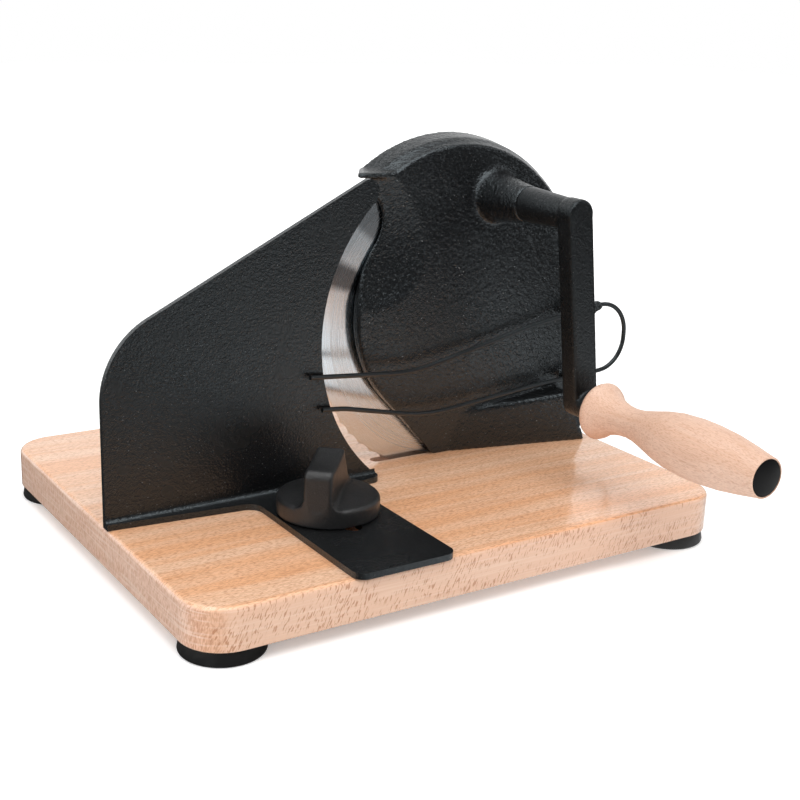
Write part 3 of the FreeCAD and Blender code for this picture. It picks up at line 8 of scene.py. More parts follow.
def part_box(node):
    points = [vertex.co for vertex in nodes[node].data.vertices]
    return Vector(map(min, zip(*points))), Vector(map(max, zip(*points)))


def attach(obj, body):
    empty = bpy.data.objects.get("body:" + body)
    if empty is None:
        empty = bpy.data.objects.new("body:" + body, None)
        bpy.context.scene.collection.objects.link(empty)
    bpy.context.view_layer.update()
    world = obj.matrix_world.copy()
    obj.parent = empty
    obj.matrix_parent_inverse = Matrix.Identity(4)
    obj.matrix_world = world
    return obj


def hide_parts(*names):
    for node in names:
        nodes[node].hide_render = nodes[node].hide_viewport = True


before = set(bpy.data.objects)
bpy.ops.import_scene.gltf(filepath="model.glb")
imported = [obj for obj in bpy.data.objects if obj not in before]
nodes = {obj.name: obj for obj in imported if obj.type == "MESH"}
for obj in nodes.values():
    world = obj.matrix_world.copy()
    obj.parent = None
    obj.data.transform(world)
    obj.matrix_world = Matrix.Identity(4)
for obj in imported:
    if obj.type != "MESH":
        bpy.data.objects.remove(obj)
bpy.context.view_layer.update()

# Camera
# A long lens stands in front of the crank's side, left of the middle and a little above the
# housing, with a slight roll.
camera_place = Vector((-0.3544, -0.5174, 0.2626))
camera_azimuth = math.radians(-33.47)
camera_elevation = math.radians(17.007)
camera_roll = math.radians(2.063)
sensor_width = 36.0
lens_length = 59.48

level = math.cos(camera_elevation)
backward = Vector((math.sin(camera_azimuth) * level, -math.cos(camera_azimuth) * level,
                   math.sin(camera_elevation)))
sideways = (-backward).cross(Vector((0, 0, 1))).normalized()
upward = sideways.cross(-backward)
picture_right = math.cos(camera_roll) * sideways + math.sin(camera_roll) * upward
picture_up = -math.sin(camera_roll) * sideways + math.cos(camera_roll) * upward
turn = Matrix((picture_right, picture_up, backward)).transposed().to_4x4()

optics = bpy.data.cameras.new("camera")
optics.sensor_width = sensor_width
optics.lens = lens_length
camera = bpy.data.objects.new("camera", optics)
camera.matrix_world = Matrix.Translation(camera_place) @ turn
bpy.context.scene.collection.objects.link(camera)
bpy.context.scene.camera = camera
bpy.context.scene.view_settings.view_transform = "Standard"


# Studio
# A white floor and a white surround, with a wide soft lamp above and a weaker one on each side.
# The floor keeps the object's soft shadow. In mirrors it is dark apart from three bright pools.
def place(tree, kind, inputs=None, **settings):
    """Adds a shader node. An input that is given a socket is linked to it, other inputs are set."""
    node = tree.nodes.new("ShaderNode" + kind)
    for name, value in settings.items():
        setattr(node, name, value)
    for key, value in (inputs or {}).items():
        if isinstance(value, bpy.types.NodeSocket):
            tree.links.new(value, node.inputs[key])
        else:
            node.inputs[key].default_value = value
    return node


def calc(tree, operation, a, b=0.0):
    """One step of arithmetic on values."""
    return place(tree, "Math", {0: a, 1: b}, operation=operation).outputs[0]


def stepped(tree, value, low, high, out_low=0.0, out_high=1.0):
    """A value carried smoothly from one range to another."""
    return place(tree, "MapRange", {0: value, 1: low, 2: high, 3: out_low, 4: out_high},
                 interpolation_type="SMOOTHSTEP").outputs[0]


def finish_mesh(name, bm, sharp_angle=35.0):
    """Turns a bmesh into an object with smooth faces and sharp edges above an angle in degrees."""
    mesh = bpy.data.meshes.new(name)
    bm.to_mesh(mesh)
    bm.free()
    mesh.shade_smooth()
    mesh.set_sharp_from_angle(angle=math.radians(sharp_angle))
    piece = bpy.data.objects.new(name, mesh)
    bpy.context.scene.collection.objects.link(piece)
    return piece


white = (1, 1, 1, 1)
floor_half = 4.0
floor_shade = (0.93, 0.93, 0.93, 1.0)
floor_glow = 0.30
glow_start = 0.4
glow_full = 1.2
mirrored_floor = 0.06
# Place on the floor, and the radii inside which a pool is full and outside which it is gone
floor_pools = [
    (0.16, -0.25, 0.13, 0.36),
    (0.54, -0.93, 0.06, 0.17),
    (-0.46, -0.28, 0.05, 0.22),
]
surround_light = 0.55
mirrored_front = 0.10
mirrored_overhead = 0.25

bm = bmesh.new()
bmesh.ops.create_grid(bm, x_segments=1, y_segments=1, size=floor_half)
floor = finish_mesh("studio_floor", bm)
floor_paint = bpy.data.materials.new("studio_floor")
floor_paint.use_nodes = True
tree = floor_paint.node_tree
tree.nodes.clear()
ray = place(tree, "LightPath").outputs
spot = place(tree, "TexCoord").outputs["Object"]
matt = place(tree, "BsdfDiffuse", {"Color": floor_shade})
distance = place(tree, "VectorMath", {0: spot}, operation="LENGTH").outputs["Value"]
far = stepped(tree, distance, glow_start, glow_full, floor_glow, 1.0)
shown = calc(tree, "MULTIPLY", ray["Is Camera Ray"], far)
glow = place(tree, "Emission", {"Color": white, "Strength": shown})
lit = place(tree, "AddShader", {0: matt.outputs[0], 1: glow.outputs[0]})
mirrored = mirrored_floor
for pool_x, pool_y, inner, outer in floor_pools:
    gap = place(tree, "VectorMath", {0: spot, 1: (pool_x, pool_y, 0)}, operation="DISTANCE")
    pool = stepped(tree, gap.outputs["Value"], inner, outer, 1.0, 0.0)
    mirrored = calc(tree, "MAXIMUM", mirrored, pool)
pools = place(tree, "Emission", {"Color": white, "Strength": mirrored})
whole = place(tree, "MixShader", {0: ray["Is Glossy Ray"], 1: lit.outputs[0], 2: pools.outputs[0]})
place(tree, "OutputMaterial", {"Surface": whole.outputs[0]})
floor.data.materials.append(floor_paint)

world = bpy.data.worlds.new("studio_surround")
world.use_nodes = True
bpy.context.scene.world = world
tree = world.node_tree
tree.nodes.clear()
ray = place(tree, "LightPath").outputs
seen = calc(tree, "MAXIMUM", ray["Is Camera Ray"], ray["Is Glossy Ray"])
seen = calc(tree, "MAXIMUM", seen, ray["Is Transmission Ray"])
direction = place(tree, "SeparateXYZ", {0: place(tree, "TexCoord").outputs["Generated"]}).outputs
mirrored = calc(tree, "MULTIPLY", stepped(tree, direction[1], -0.15, 0.45, mirrored_front, 1.0),
                stepped(tree, direction[2], 0.42, 0.92, 1.0, mirrored_overhead))
shown = calc(tree, "MAXIMUM", ray["Is Camera Ray"], mirrored)
shown = calc(tree, "MULTIPLY", seen, shown)
lighting = calc(tree, "MULTIPLY", calc(tree, "SUBTRACT", 1.0, seen), surround_light)
strength = calc(tree, "ADD", shown, lighting)
surround = place(tree, "Background", {"Color": white, "Strength": strength})
place(tree, "OutputWorld", {"Surface": surround.outputs[0]})

lamp_aim = Vector((0.0, 0.03, 0.08))
# Place in metres, edge length in metres and power in watts
lamps = {
    "lamp_above": ((-0.2, -0.40, 1.6), 1.7, 22.5),
    "lamp_left": ((-1.5, -0.5, 0.7), 0.6, 4.2),
    "lamp_right": ((1.5, -0.9, 0.9), 0.6, 2.2),
}
for name, (spot, size, power) in lamps.items():
    light = bpy.data.lights.new(name, "AREA")
    light.size = size
    light.energy = power
    lamp = bpy.data.objects.new(name, light)
    away = (Vector(spot) - lamp_aim).to_track_quat("Z", "Y").to_matrix().to_4x4()
    lamp.matrix_world = Matrix.Translation(spot) @ away
    bpy.context.scene.collection.objects.link(lamp)


# Board
# One glued slab of steamed beech, rounded with a router, sanded and oiled until its top shines.
# The grain runs along the long side; the ends show end grain. Grooves take the blade and the stop's keys.
def merged_copy(node_name):
    """The mesh of a CAD node with its loose triangles joined."""
    bm = bmesh.new()
    bm.from_mesh(nodes[node_name].data)
    bmesh.ops.remove_doubles(bm, verts=bm.verts, dist=2e-6)
    flat = math.radians(0.5)
    bmesh.ops.dissolve_limit(bm, angle_limit=flat, verts=bm.verts, edges=bm.edges)
    return bm


def soften(piece, width, segments=3):
    """Rounds the sharp edges of a piece."""
    bevel = piece.modifiers.new("soft_edges", "BEVEL")
    bevel.width = width
    bevel.segments = segments
    bevel.limit_method = "ANGLE"
    bevel.angle_limit = math.radians(35)
    bevel.harden_normals = True


def mixed(tree, share, a, b, blend_type="MIX"):
    """Two colours mixed by a share."""
    mix = place(tree, "Mix", {0: share, 6: a, 7: b}, data_type="RGBA", blend_type=blend_type)
    return mix.outputs[2]


def laid_over(tree, under, mask, share, colour):
    """A colour laid over another, as strongly as the share, where a mask is full."""
    return mixed(tree, calc(tree, "MULTIPLY", mask, share), under, colour)


def sized(tree, size, centre=(0, 0, 0), turned=(0, 0, 0), source=None):
    """Object coordinates, in pattern units of the given size in metres."""
    if source is None:
        source = place(tree, "TexCoord").outputs["Object"]
    mapping = place(tree, "Mapping", {"Vector": source, "Location": centre, "Rotation": turned,
                                      "Scale": size}, vector_type="TEXTURE")
    return mapping.outputs[0]


def noise(tree, vector, detail=0.0, distortion=0.0):
    """A cloud pattern with features about one unit wide."""
    return place(tree, "TexNoise", {"Vector": vector, "Scale": 1.0, "Detail": detail,
                                    "Distortion": distortion}).outputs[0]


def start_group(name, inputs, outputs):
    """A shader node group with its sockets; returns it with the inner ends of the sockets."""
    group = bpy.data.node_groups.new(name, "ShaderNodeTree")
    for label, kind in inputs:
        group.interface.new_socket(name=label, in_out="INPUT", socket_type="NodeSocket" + kind)
    for label, kind in outputs:
        group.interface.new_socket(name=label, in_out="OUTPUT", socket_type="NodeSocket" + kind)
    given = group.nodes.new("NodeGroupInput").outputs
    result = group.nodes.new("NodeGroupOutput").inputs
    return group, given, result


def start_material(name, color, roughness, metallic=0.0):
    """A material with one shader; returns it with its tree and the shader's inputs."""
    material = bpy.data.materials.new(name)
    material.use_nodes = True
    tree = material.node_tree
    shader = tree.nodes["Principled BSDF"].inputs
    shader["Base Color"].default_value = (*color, 1.0)
    shader["Roughness"].default_value = roughness
    shader["Metallic"].default_value = metallic
    return material, tree, shader


def bumped(tree, height, distance, strength=1.0):
    """A normal from a height map."""
    bump = place(tree, "Bump", {"Height": height, "Distance": distance, "Strength": strength})
    return bump.outputs[0]


# Grain of beech along X: broad bands, growth rings and fine fibres
band_size = (0.45, 0.014, 0.014)
ring_size = (0.30, 0.0045, 0.0045)
rings_per_unit = 3.0
ring_half_width = 0.14
ring_share = 0.38
fibre_size = (0.010, 0.0004, 0.0004)
sway_size = (0.15, 0.05, 0.05)
sway_reach = 0.010

beech_grain, given, result = start_group(
    "beech_grain",
    [("Place", "Vector"), ("Pale", "Color"), ("Tan", "Color"), ("Ring", "Color")],
    [("Color", "Color"), ("Height", "Float")])
tree = beech_grain
sway = place(tree, "TexNoise", {"Vector": sized(tree, sway_size, source=given["Place"]), "Scale": 1.0})
sway = place(tree, "VectorMath", {0: sway.outputs["Color"], 1: (0.5, 0.5, 0.5)}, operation="SUBTRACT")
sway = place(tree, "VectorMath", {0: sway.outputs[0], "Scale": sway_reach}, operation="SCALE")
bent = place(tree, "VectorMath", {0: given["Place"], 1: sway.outputs[0]}, operation="ADD").outputs[0]
bands = stepped(tree, noise(tree, sized(tree, band_size, source=bent), 2.0), 0.36, 0.64)
rings = noise(tree, sized(tree, ring_size, source=bent), 1.5)
ring_phase = calc(tree, "FRACT", calc(tree, "MULTIPLY", rings, rings_per_unit))
from_ring = calc(tree, "ABSOLUTE", calc(tree, "SUBTRACT", ring_phase, 0.5))
on_ring = stepped(tree, from_ring, 0.0, ring_half_width, ring_share, 0.0)
fibres = noise(tree, sized(tree, fibre_size, source=bent), 1.0)
fibre_shade = stepped(tree, fibres, 0.3, 0.7, 1.04, 0.95)
shade = place(tree, "CombineColor", {0: fibre_shade, 1: fibre_shade, 2: fibre_shade}).outputs[0]
tone = mixed(tree, bands, given["Pale"], given["Tan"])
tone = mixed(tree, on_ring, tone, given["Ring"])
tree.links.new(mixed(tree, 1.0, tone, shade, "MULTIPLY"), result["Color"])
tree.links.new(fibres, result["Height"])

# Short dark ray flecks: each is a stretched spot
fleck_blend = 0.10
ray_flecks, given, result = start_group(
    "ray_flecks", [("Place", "Vector"), ("Start", "Float")], [("Mask", "Float")])
tree = ray_flecks
spots = noise(tree, given["Place"], 0.0, 0.4)
full = calc(tree, "ADD", given["Start"], fleck_blend)
tree.links.new(stepped(tree, spots, given["Start"], full), result["Mask"])


def flecks(tree, size, start, turned=(0, 0, 0)):
    """Mask of the ray flecks, with a size in metres; a lower start gives more of them."""
    spots = place(tree, "Group", {"Place": sized(tree, size, turned=turned), "Start": start},
                  node_tree=ray_flecks)
    return spots.outputs[0]


board_pale = (0.93, 0.60, 0.40, 1.0)
board_tan = (0.90, 0.48, 0.26, 1.0)
board_ring = (0.72, 0.33, 0.15, 1.0)
board_fleck = (0.47, 0.19, 0.085, 1.0)
board_side = (0.78, 0.53, 0.40, 1.0)
board_end = (0.84, 0.59, 0.47, 1.0)
board_end_line = (0.95, 0.76, 0.64, 1.0)
side_share = 0.72
end_share = 0.80
corner_grain_and_shade_share = 0.35
top_fleck_size = (0.0024, 0.00045, 0.0005)
top_fleck_turn = (0, 0, math.radians(3))
top_fleck_share = 0.50
side_fleck_size = (0.00066, 0.0020, 0.0032)
side_fleck_turn = (0, math.radians(22), 0)
side_fleck_share = 0.70
side_patch_size = (0.020, 0.02, 0.006)
end_streak_size = (0.002, 0.00048, 0.0026)
end_streak_turn = (math.radians(8), 0, 0)
end_streak_share = 0.42
corner_streak_size = (0.0006, 0.0006, 0.0022)
corner_streak_share = 0.35
end_layer_size = (0.04, 0.04, 0.0012)
side_layer_size = (0.05, 0.05, 0.0008)
side_layer_part = 0.5
layer_share = 0.4
pore_depth = 0.00008
oil_roughness = 0.13
oil_index = 1.6
board_edge_softness = 0.0003

board = finish_mesh("beech_board", merged_copy("base_board"), 30.0)
soften(board, board_edge_softness, 2)

beech, tree, shader = start_material("oiled_beech", board_pale[:3], 0.5)
grain = place(tree, "Group", {"Place": place(tree, "TexCoord").outputs["Object"], "Pale": board_pale,
                              "Tan": board_tan, "Ring": board_ring}, node_tree=beech_grain)
facing = place(tree, "SeparateXYZ", {0: place(tree, "TexCoord").outputs["Normal"]}).outputs
on_end, on_side, on_top = [stepped(tree, calc(tree, "ABSOLUTE", part), 0.55, 0.85) for part in facing]
on_corner = stepped(tree, calc(tree, "MULTIPLY", facing[0], facing[1]), 0.2, 0.5)

top_flecks = calc(tree, "MULTIPLY", on_top, flecks(tree, top_fleck_size, 0.52, top_fleck_turn))
strokes = flecks(tree, side_fleck_size, 0.575, side_fleck_turn)
patches = stepped(tree, noise(tree, sized(tree, side_patch_size), 1.0), 0.30, 0.55)
side_flecks = calc(tree, "MULTIPLY", on_side, calc(tree, "MULTIPLY", strokes, patches))
end_streaks = calc(tree, "MULTIPLY", on_end, flecks(tree, end_streak_size, 0.47, end_streak_turn))
corner_streaks = calc(tree, "MULTIPLY", on_corner, flecks(tree, corner_streak_size, 0.46))
end_layers = stepped(tree, noise(tree, sized(tree, end_layer_size), 1.0), 0.52, 0.66)
end_layers = calc(tree, "MULTIPLY", on_end, end_layers)
side_layers = stepped(tree, noise(tree, sized(tree, side_layer_size), 1.0), 0.5, 0.7)
side_layers = calc(tree, "MULTIPLY", on_side, side_layers)
layers = calc(tree, "ADD", end_layers, calc(tree, "MULTIPLY", side_layers, side_layer_part))

wood = laid_over(tree, grain.outputs["Color"], on_side, side_share, board_side)
wood = laid_over(tree, wood, on_end, end_share, board_end)
# Darker rounded corner: partly its denser grain, partly painted shade
wood = laid_over(tree, wood, on_corner, corner_grain_and_shade_share, board_ring)
wood = laid_over(tree, wood, top_flecks, top_fleck_share, board_fleck)
wood = laid_over(tree, wood, side_flecks, side_fleck_share, board_fleck)
wood = laid_over(tree, wood, end_streaks, end_streak_share, board_fleck)
wood = laid_over(tree, wood, corner_streaks, corner_streak_share, board_fleck)
wood = laid_over(tree, wood, layers, layer_share, board_end_line)
tree.links.new(wood, shader["Base Color"])
pores = calc(tree, "SUBTRACT", grain.outputs["Height"], calc(tree, "ADD", top_flecks, side_flecks))
tree.links.new(bumped(tree, pores, pore_depth, 0.6), shader["Normal"])
tree.links.new(stepped(tree, grain.outputs["Height"], 0.2, 0.8, 0.42, 0.58), shader["Roughness"])
shader["Specular IOR Level"].default_value = 0.3
shader["Coat Weight"].default_value = 1.0
shader["Coat Roughness"].default_value = oil_roughness
shader["Coat IOR"].default_value = oil_index
board.data.materials.append(beech)
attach(board, "base")
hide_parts("base_board")


# Rubber feet
# Four moulded black rubber discs, each screwed on from below through a recess.
# They widen a little towards the floor and have soft edges.
def turned_shape(profile, axis, centre, steps=64):
    """A closed shape spun round an axis from (radius, height) pairs in metres."""
    bm = bmesh.new()
    middle = Vector(centre)
    across = Vector((1, 0, 0))
    along = Vector(axis)
    ring = [bm.verts.new(middle + across * radius + along * height) for radius, height in profile]
    edges = [bm.edges.new(pair) for pair in zip(ring, ring[1:])]
    bmesh.ops.spin(bm, geom=ring + edges, cent=centre, axis=axis, angle=math.tau, steps=steps,
                   use_merge=True)
    bmesh.ops.remove_doubles(bm, verts=bm.verts, dist=1e-6)
    bmesh.ops.recalc_face_normals(bm, faces=bm.faces)
    return bm


def rounded_corner(x, y, radius, start, turn, steps=5):
    """Points on an arc, with angles in degrees."""
    angles = [math.radians(start + turn * i / steps) for i in range(steps + 1)]
    return [(x + radius * math.cos(a), y + radius * math.sin(a)) for a in angles]


foot_radius = 0.019
foot_top = 0.007
foot_round = 0.0014
foot_shoulder = 0.0010
foot_shoulder_drop = 0.0004
foot_wall_inset = 0.0008
foot_wall_drop = 0.0012
foot_recess_radius = 0.007
foot_recess_depth = 0.004
foot_recess_edge = 0.0006
foot_hole_radius = 0.0022

low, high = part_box("rubber_feet")
reach = [(low.x + foot_radius, high.x - foot_radius), (low.y + foot_radius, high.y - foot_radius)]
foot_profile = [(foot_hole_radius, foot_top), (foot_radius - foot_round, foot_top)]
foot_profile += [(foot_radius - foot_shoulder, foot_top - foot_shoulder_drop),
                 (foot_radius - foot_wall_inset, foot_top - foot_wall_drop)]
foot_profile += rounded_corner(foot_radius - foot_round, foot_round, foot_round, 0, -90)
foot_profile += [(foot_recess_radius + foot_recess_edge, 0.0), (foot_recess_radius, foot_recess_edge),
                 (foot_recess_radius, foot_recess_depth), (foot_hole_radius, foot_recess_depth),
                 (foot_hole_radius, foot_top)]
feet_mesh = bmesh.new()
for x in reach[0]:
    for y in reach[1]:
        foot = turned_shape(foot_profile, (0, 0, 1), (x, y, 0.0), 72)
        one = bpy.data.meshes.new("foot")
        foot.to_mesh(one)
        foot.free()
        feet_mesh.from_mesh(one)
        bpy.data.meshes.remove(one)
feet = finish_mesh("rubber_feet_moulded", feet_mesh, 40.0)

skin_size = (0.0009, 0.0009, 0.0009)
dust_size = (0.006, 0.006, 0.006)
clean_rubber = (0.010, 0.010, 0.010, 1)
dusty_rubber = (0.022, 0.021, 0.020, 1)
rubber, tree, shader = start_material("black_rubber", (0.012, 0.012, 0.012), 0.5)
skin = noise(tree, sized(tree, skin_size), 2.0)
dust = noise(tree, sized(tree, dust_size), 3.0)
dusty = stepped(tree, dust, 0.5, 0.8)
tree.links.new(mixed(tree, dusty, clean_rubber, dusty_rubber), shader["Base Color"])
tree.links.new(stepped(tree, dust, 0.3, 0.7, 0.40, 0.60), shader["Roughness"])
tree.links.new(bumped(tree, skin, 0.00003), shader["Normal"])
feet.data.materials.append(rubber)
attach(feet, "base")
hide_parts("rubber_feet")


# Zinc plated screws and washers
# Cross-head screws hold the feet and the housing from below; the clamp bolt comes up through the
# board. All are steel, cold headed or turned, with a thin matt zinc plating.
def keep_nodes(names, material):
    """CAD nodes whose shape is right keep it and take a material."""
    for name in names:
        for slot in nodes[name].material_slots:
            slot.material = material


zinc_bloom_size = (0.002, 0.002, 0.002)
zinc_grain_size = (0.0003, 0.0003, 0.0003)
zinc_cool = (0.55, 0.55, 0.56, 1)
zinc_warm = (0.66, 0.65, 0.60, 1)
zinc, tree, shader = start_material("zinc_plating", (0.62, 0.62, 0.60), 0.32, 1.0)
bloom = noise(tree, sized(tree, zinc_bloom_size), 3.0)
zinc_grain = noise(tree, sized(tree, zinc_grain_size), 1.0)
tree.links.new(mixed(tree, bloom, zinc_cool, zinc_warm), shader["Base Color"])
tree.links.new(stepped(tree, bloom, 0.3, 0.7, 0.26, 0.42), shader["Roughness"])
tree.links.new(bumped(tree, zinc_grain, 0.00001), shader["Normal"])
keep_nodes(["foot_screws", "frame_screws", "frame_screw_washers", "gear_rivets", "blade_cap_washer",
            "handle_spindle", "handle_washer", "handle_screw", "clamp_washer", "clamp_bolt",
            "clamp_bolt_washer"], zinc)


# Blade housing
# One aluminium casting: face wall with a shallow dome, guard rim with visor, crank boss and foot.
# It is sand cast, so every corner is soft, and coated black with a leathery powder coat.
fine_grain = (0.31, 0.31, 0.31)
fine_share = 0.25
glint_grain = (0.42, 0.42, 0.42)
glint_shift = (7.0, 3.0, 5.0)
cloud_grain = (18.0, 18.0, 18.0)

coat_texture, given, result = start_group(
    "coat_texture", [("Place", "Vector")],
    [("Height", "Float"), ("Glint", "Float"), ("Cloud", "Float")])
tree = coat_texture
leather = place(tree, "TexNoise", {"Vector": given["Place"], "Scale": 1.0, "Detail": 2.0,
                                   "Roughness": 0.55, "Distortion": 0.6}).outputs[0]
fine = noise(tree, sized(tree, fine_grain, source=given["Place"]), 1.0)
glint_spots = noise(tree, sized(tree, glint_grain, centre=glint_shift, source=given["Place"]), 0.0)
clouds = noise(tree, sized(tree, cloud_grain, source=given["Place"]), 2.0)
height = calc(tree, "ADD", leather, calc(tree, "MULTIPLY", fine, fine_share))
tree.links.new(height, result["Height"])
# Painted highlight: a mask of tiny spots where grey glints are painted into the colour
tree.links.new(stepped(tree, glint_spots, 0.80, 0.86), result["Glint"])
tree.links.new(clouds, result["Cloud"])

coat_deep = (0.004, 0.004, 0.0043, 1)
coat_worn = (0.007, 0.007, 0.0073, 1)
painted_glint_grey = (0.30, 0.30, 0.30, 1)
painted_glint_share = 0.5
coat_tint = (0.82, 0.94, 1.0, 1.0)


def black_coat(name, grain_size, depth, rough_low, rough_high, shine=0.80):
    """Black powder coat with a leathery grain of the given size and depth in metres, and grey specks
    painted in as glints.
    """
    material, tree, shader = start_material(name, (0.006, 0.006, 0.0065), rough_low)
    grain_place = sized(tree, (grain_size, grain_size, grain_size))
    coat = place(tree, "Group", {"Place": grain_place}, node_tree=coat_texture).outputs
    tone = mixed(tree, coat["Cloud"], coat_deep, coat_worn)
    # Painted highlight: grey glint specks laid into the coat's colour
    tone = laid_over(tree, tone, coat["Glint"], painted_glint_share, painted_glint_grey)
    tree.links.new(tone, shader["Base Color"])
    tree.links.new(stepped(tree, coat["Cloud"], 0.3, 0.7, rough_low, rough_high), shader["Roughness"])
    tree.links.new(bumped(tree, coat["Height"], depth), shader["Normal"])
    shader["Specular IOR Level"].default_value = shine
    shader["Specular Tint"].default_value = coat_tint
    return material


def cast_copy(node_name, piece_name, cell, smoothing):
    """A copy of a CAD node with the soft corners of a casting."""
    piece = finish_mesh(piece_name, merged_copy(node_name), 180.0)
    piece.data.materials.clear()
    remesh = piece.modifiers.new("skin", "REMESH")
    remesh.mode = "VOXEL"
    remesh.voxel_size = cell
    remesh.use_smooth_shade = True
    smooth = piece.modifiers.new("soft_corners", "SMOOTH")
    smooth.factor = 0.5
    smooth.iterations = smoothing
    return piece


housing = cast_copy("frame_casting", "blade_housing", cell=0.0010, smoothing=5)
housing_coat = black_coat("housing_coat", grain_size=0.0019, depth=0.00062, rough_low=0.14,
                          rough_high=0.21, shine=0.85)
housing.data.materials.append(housing_coat)
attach(housing, "base")
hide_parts("frame_casting")


# Bronze bushes, thrust washer and knob insert
# Two bushes in the crank boss, one in the gear wheel's hub, a thrust washer and the knob's thread.
# They are pressed from sintered bronze, which keeps open pores that hold the oil.
bronze_pore_size = (0.0004, 0.0004, 0.0004)
bronze_tone = (0.56, 0.37, 0.18, 1)
bronze_pore = (0.30, 0.18, 0.08, 1)
bronze, tree, shader = start_material("sintered_bronze", (0.50, 0.33, 0.16), 0.38, 1.0)
pores = noise(tree, sized(tree, bronze_pore_size), 2.0)
open_pores = stepped(tree, pores, 0.5, 0.7)
tree.links.new(mixed(tree, open_pores, bronze_tone, bronze_pore), shader["Base Color"])
tree.links.new(stepped(tree, pores, 0.3, 0.7, 0.32, 0.5), shader["Roughness"])
tree.links.new(bumped(tree, pores, 0.00002), shader["Normal"])
keep_nodes(["crank_bushes", "blade_bush", "blade_thrust_washer", "knob_insert"], bronze)


# Gear wheel, pinion, axle and shaft
# Cut steel gears behind the face wall: a wheel riveted to the blade and a pinion on the crank's shaft.
# The wheel turns on a fixed axle, and a grub screw holds the crank arm on the shaft.
turning_marks, given, result = start_group(
    "turning_marks", [("Place", "Vector"), ("Pitch", "Float")],
    [("Lines", "Float"), ("Radius", "Float"), ("Angle", "Float")])
tree = turning_marks
parts = place(tree, "SeparateXYZ", {0: given["Place"]}).outputs
flat_place = place(tree, "CombineXYZ", {0: parts[0], 2: parts[2]}).outputs[0]
radius = place(tree, "VectorMath", {0: flat_place}, operation="LENGTH").outputs["Value"]
angle = calc(tree, "ARCTAN2", parts[2], parts[0])
rounds = calc(tree, "DIVIDE", radius, given["Pitch"])
along_line = calc(tree, "MULTIPLY", angle, 0.8)
track = place(tree, "CombineXYZ", {0: rounds, 1: along_line, 2: 0.0}).outputs[0]
tree.links.new(noise(tree, track, 2.0), result["Lines"])
tree.links.new(radius, result["Radius"])
tree.links.new(angle, result["Angle"])


def lathe_lines(tree, centre, pitch):
    """Fine lines left by turning or grinding, round a centre line along Y."""
    return place(tree, "Group", {"Place": sized(tree, (1, 1, 1), centre=centre), "Pitch": pitch},
                 node_tree=turning_marks).outputs


def machined_steel(name, tone, centre, pitch, rough_low, rough_high):
    """Turned steel with fine rings and a faint stain."""
    material, tree, shader = start_material(name, tone, rough_low, 1.0)
    lines = lathe_lines(tree, centre, pitch)["Lines"]
    stain = noise(tree, sized(tree, (0.012, 0.012, 0.012)), 3.0)
    dark = tuple(0.82 * channel for channel in tone)
    tree.links.new(mixed(tree, stain, (*dark, 1), (*tone, 1)), shader["Base Color"])
    tree.links.new(stepped(tree, lines, 0.3, 0.7, rough_low, rough_high), shader["Roughness"])
    tree.links.new(bumped(tree, lines, 0.000006), shader["Normal"])
    return material


low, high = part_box("blade")
blade_centre = ((low.x + high.x) / 2, low.y, (low.z + high.z) / 2)
low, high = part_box("drive_pinion")
crank_centre = ((low.x + high.x) / 2, low.y, (low.z + high.z) / 2)
wheel_steel = machined_steel("gear_wheel_steel", (0.42, 0.42, 0.43), blade_centre, pitch=0.0004,
                             rough_low=0.30, rough_high=0.46)
pinion_steel = machined_steel("pinion_steel", (0.45, 0.45, 0.46), crank_centre, pitch=0.0003,
                              rough_low=0.26, rough_high=0.42)
keep_nodes(["blade_gear", "blade_axle"], wheel_steel)
keep_nodes(["drive_pinion", "crank_shaft", "crank_grub_screw"], pinion_steel)


# Blade
# A 170 mm disc of stainless steel with a scalloped edge, ground in fine rings round its centre.
# The bevel near the edge is ground more finely.
blade_radius = 0.085
bevel_width = 0.009
bevel_blend = 0.0003
bevel_start = blade_radius - bevel_width
bevel_polish = 0.05
fine_pitch = 0.00035
broad_pitch = 0.0022
ring_shade = (0.70, 0.76, 0.80, 1)
ring_light = (0.84, 0.91, 0.96, 1)
painted_reflection_dark = (0.07, 0.07, 0.075, 1)
# Sectors of the ground face painted dark, standing in for dark reflection bands: middle, inner and outer
# half width in degrees, and share
painted_reflection_bands = [(134, 4, 8, 0.6), (159, 3, 7, 0.85)]

blade_steel, tree, shader = start_material("ground_stainless", (0.66, 0.66, 0.67), 0.2, 1.0)
marks = lathe_lines(tree, blade_centre, fine_pitch)
broad = lathe_lines(tree, blade_centre, broad_pitch)
on_bevel = stepped(tree, marks["Radius"], bevel_start - bevel_blend, bevel_start + bevel_blend)
rough = stepped(tree, marks["Lines"], 0.25, 0.75, 0.17, 0.30)
smoother = calc(tree, "MULTIPLY", on_bevel, bevel_polish)
tree.links.new(calc(tree, "SUBTRACT", rough, smoother), shader["Roughness"])
tone = mixed(tree, broad["Lines"], ring_shade, ring_light)
# Painted reflection: narrow sectors round the centre are darkened towards near black
for middle, inner, outer, share in painted_reflection_bands:
    aside = calc(tree, "SUBTRACT", marks["Angle"], math.radians(middle))
    aside = calc(tree, "ABSOLUTE", aside)
    painted_band = stepped(tree, aside, math.radians(inner), math.radians(outer), share, 0.0)
    tone = mixed(tree, painted_band, tone, painted_reflection_dark)
tree.links.new(tone, shader["Base Color"])
tree.links.new(bumped(tree, marks["Lines"], 0.000004), shader["Normal"])
spoke = sized(tree, (1, 1, 1), centre=blade_centre)
around = place(tree, "VectorMath", {0: (0, 1, 0), 1: spoke}, operation="CROSS_PRODUCT").outputs[0]
around = place(tree, "VectorTransform", {0: around}, vector_type="VECTOR", convert_from="OBJECT",
               convert_to="WORLD").outputs[0]
around = place(tree, "VectorMath", {0: around}, operation="NORMALIZE").outputs[0]
tree.links.new(around, shader["Tangent"])
shader["Anisotropic"].default_value = 0.75
keep_nodes(["blade"], blade_steel)


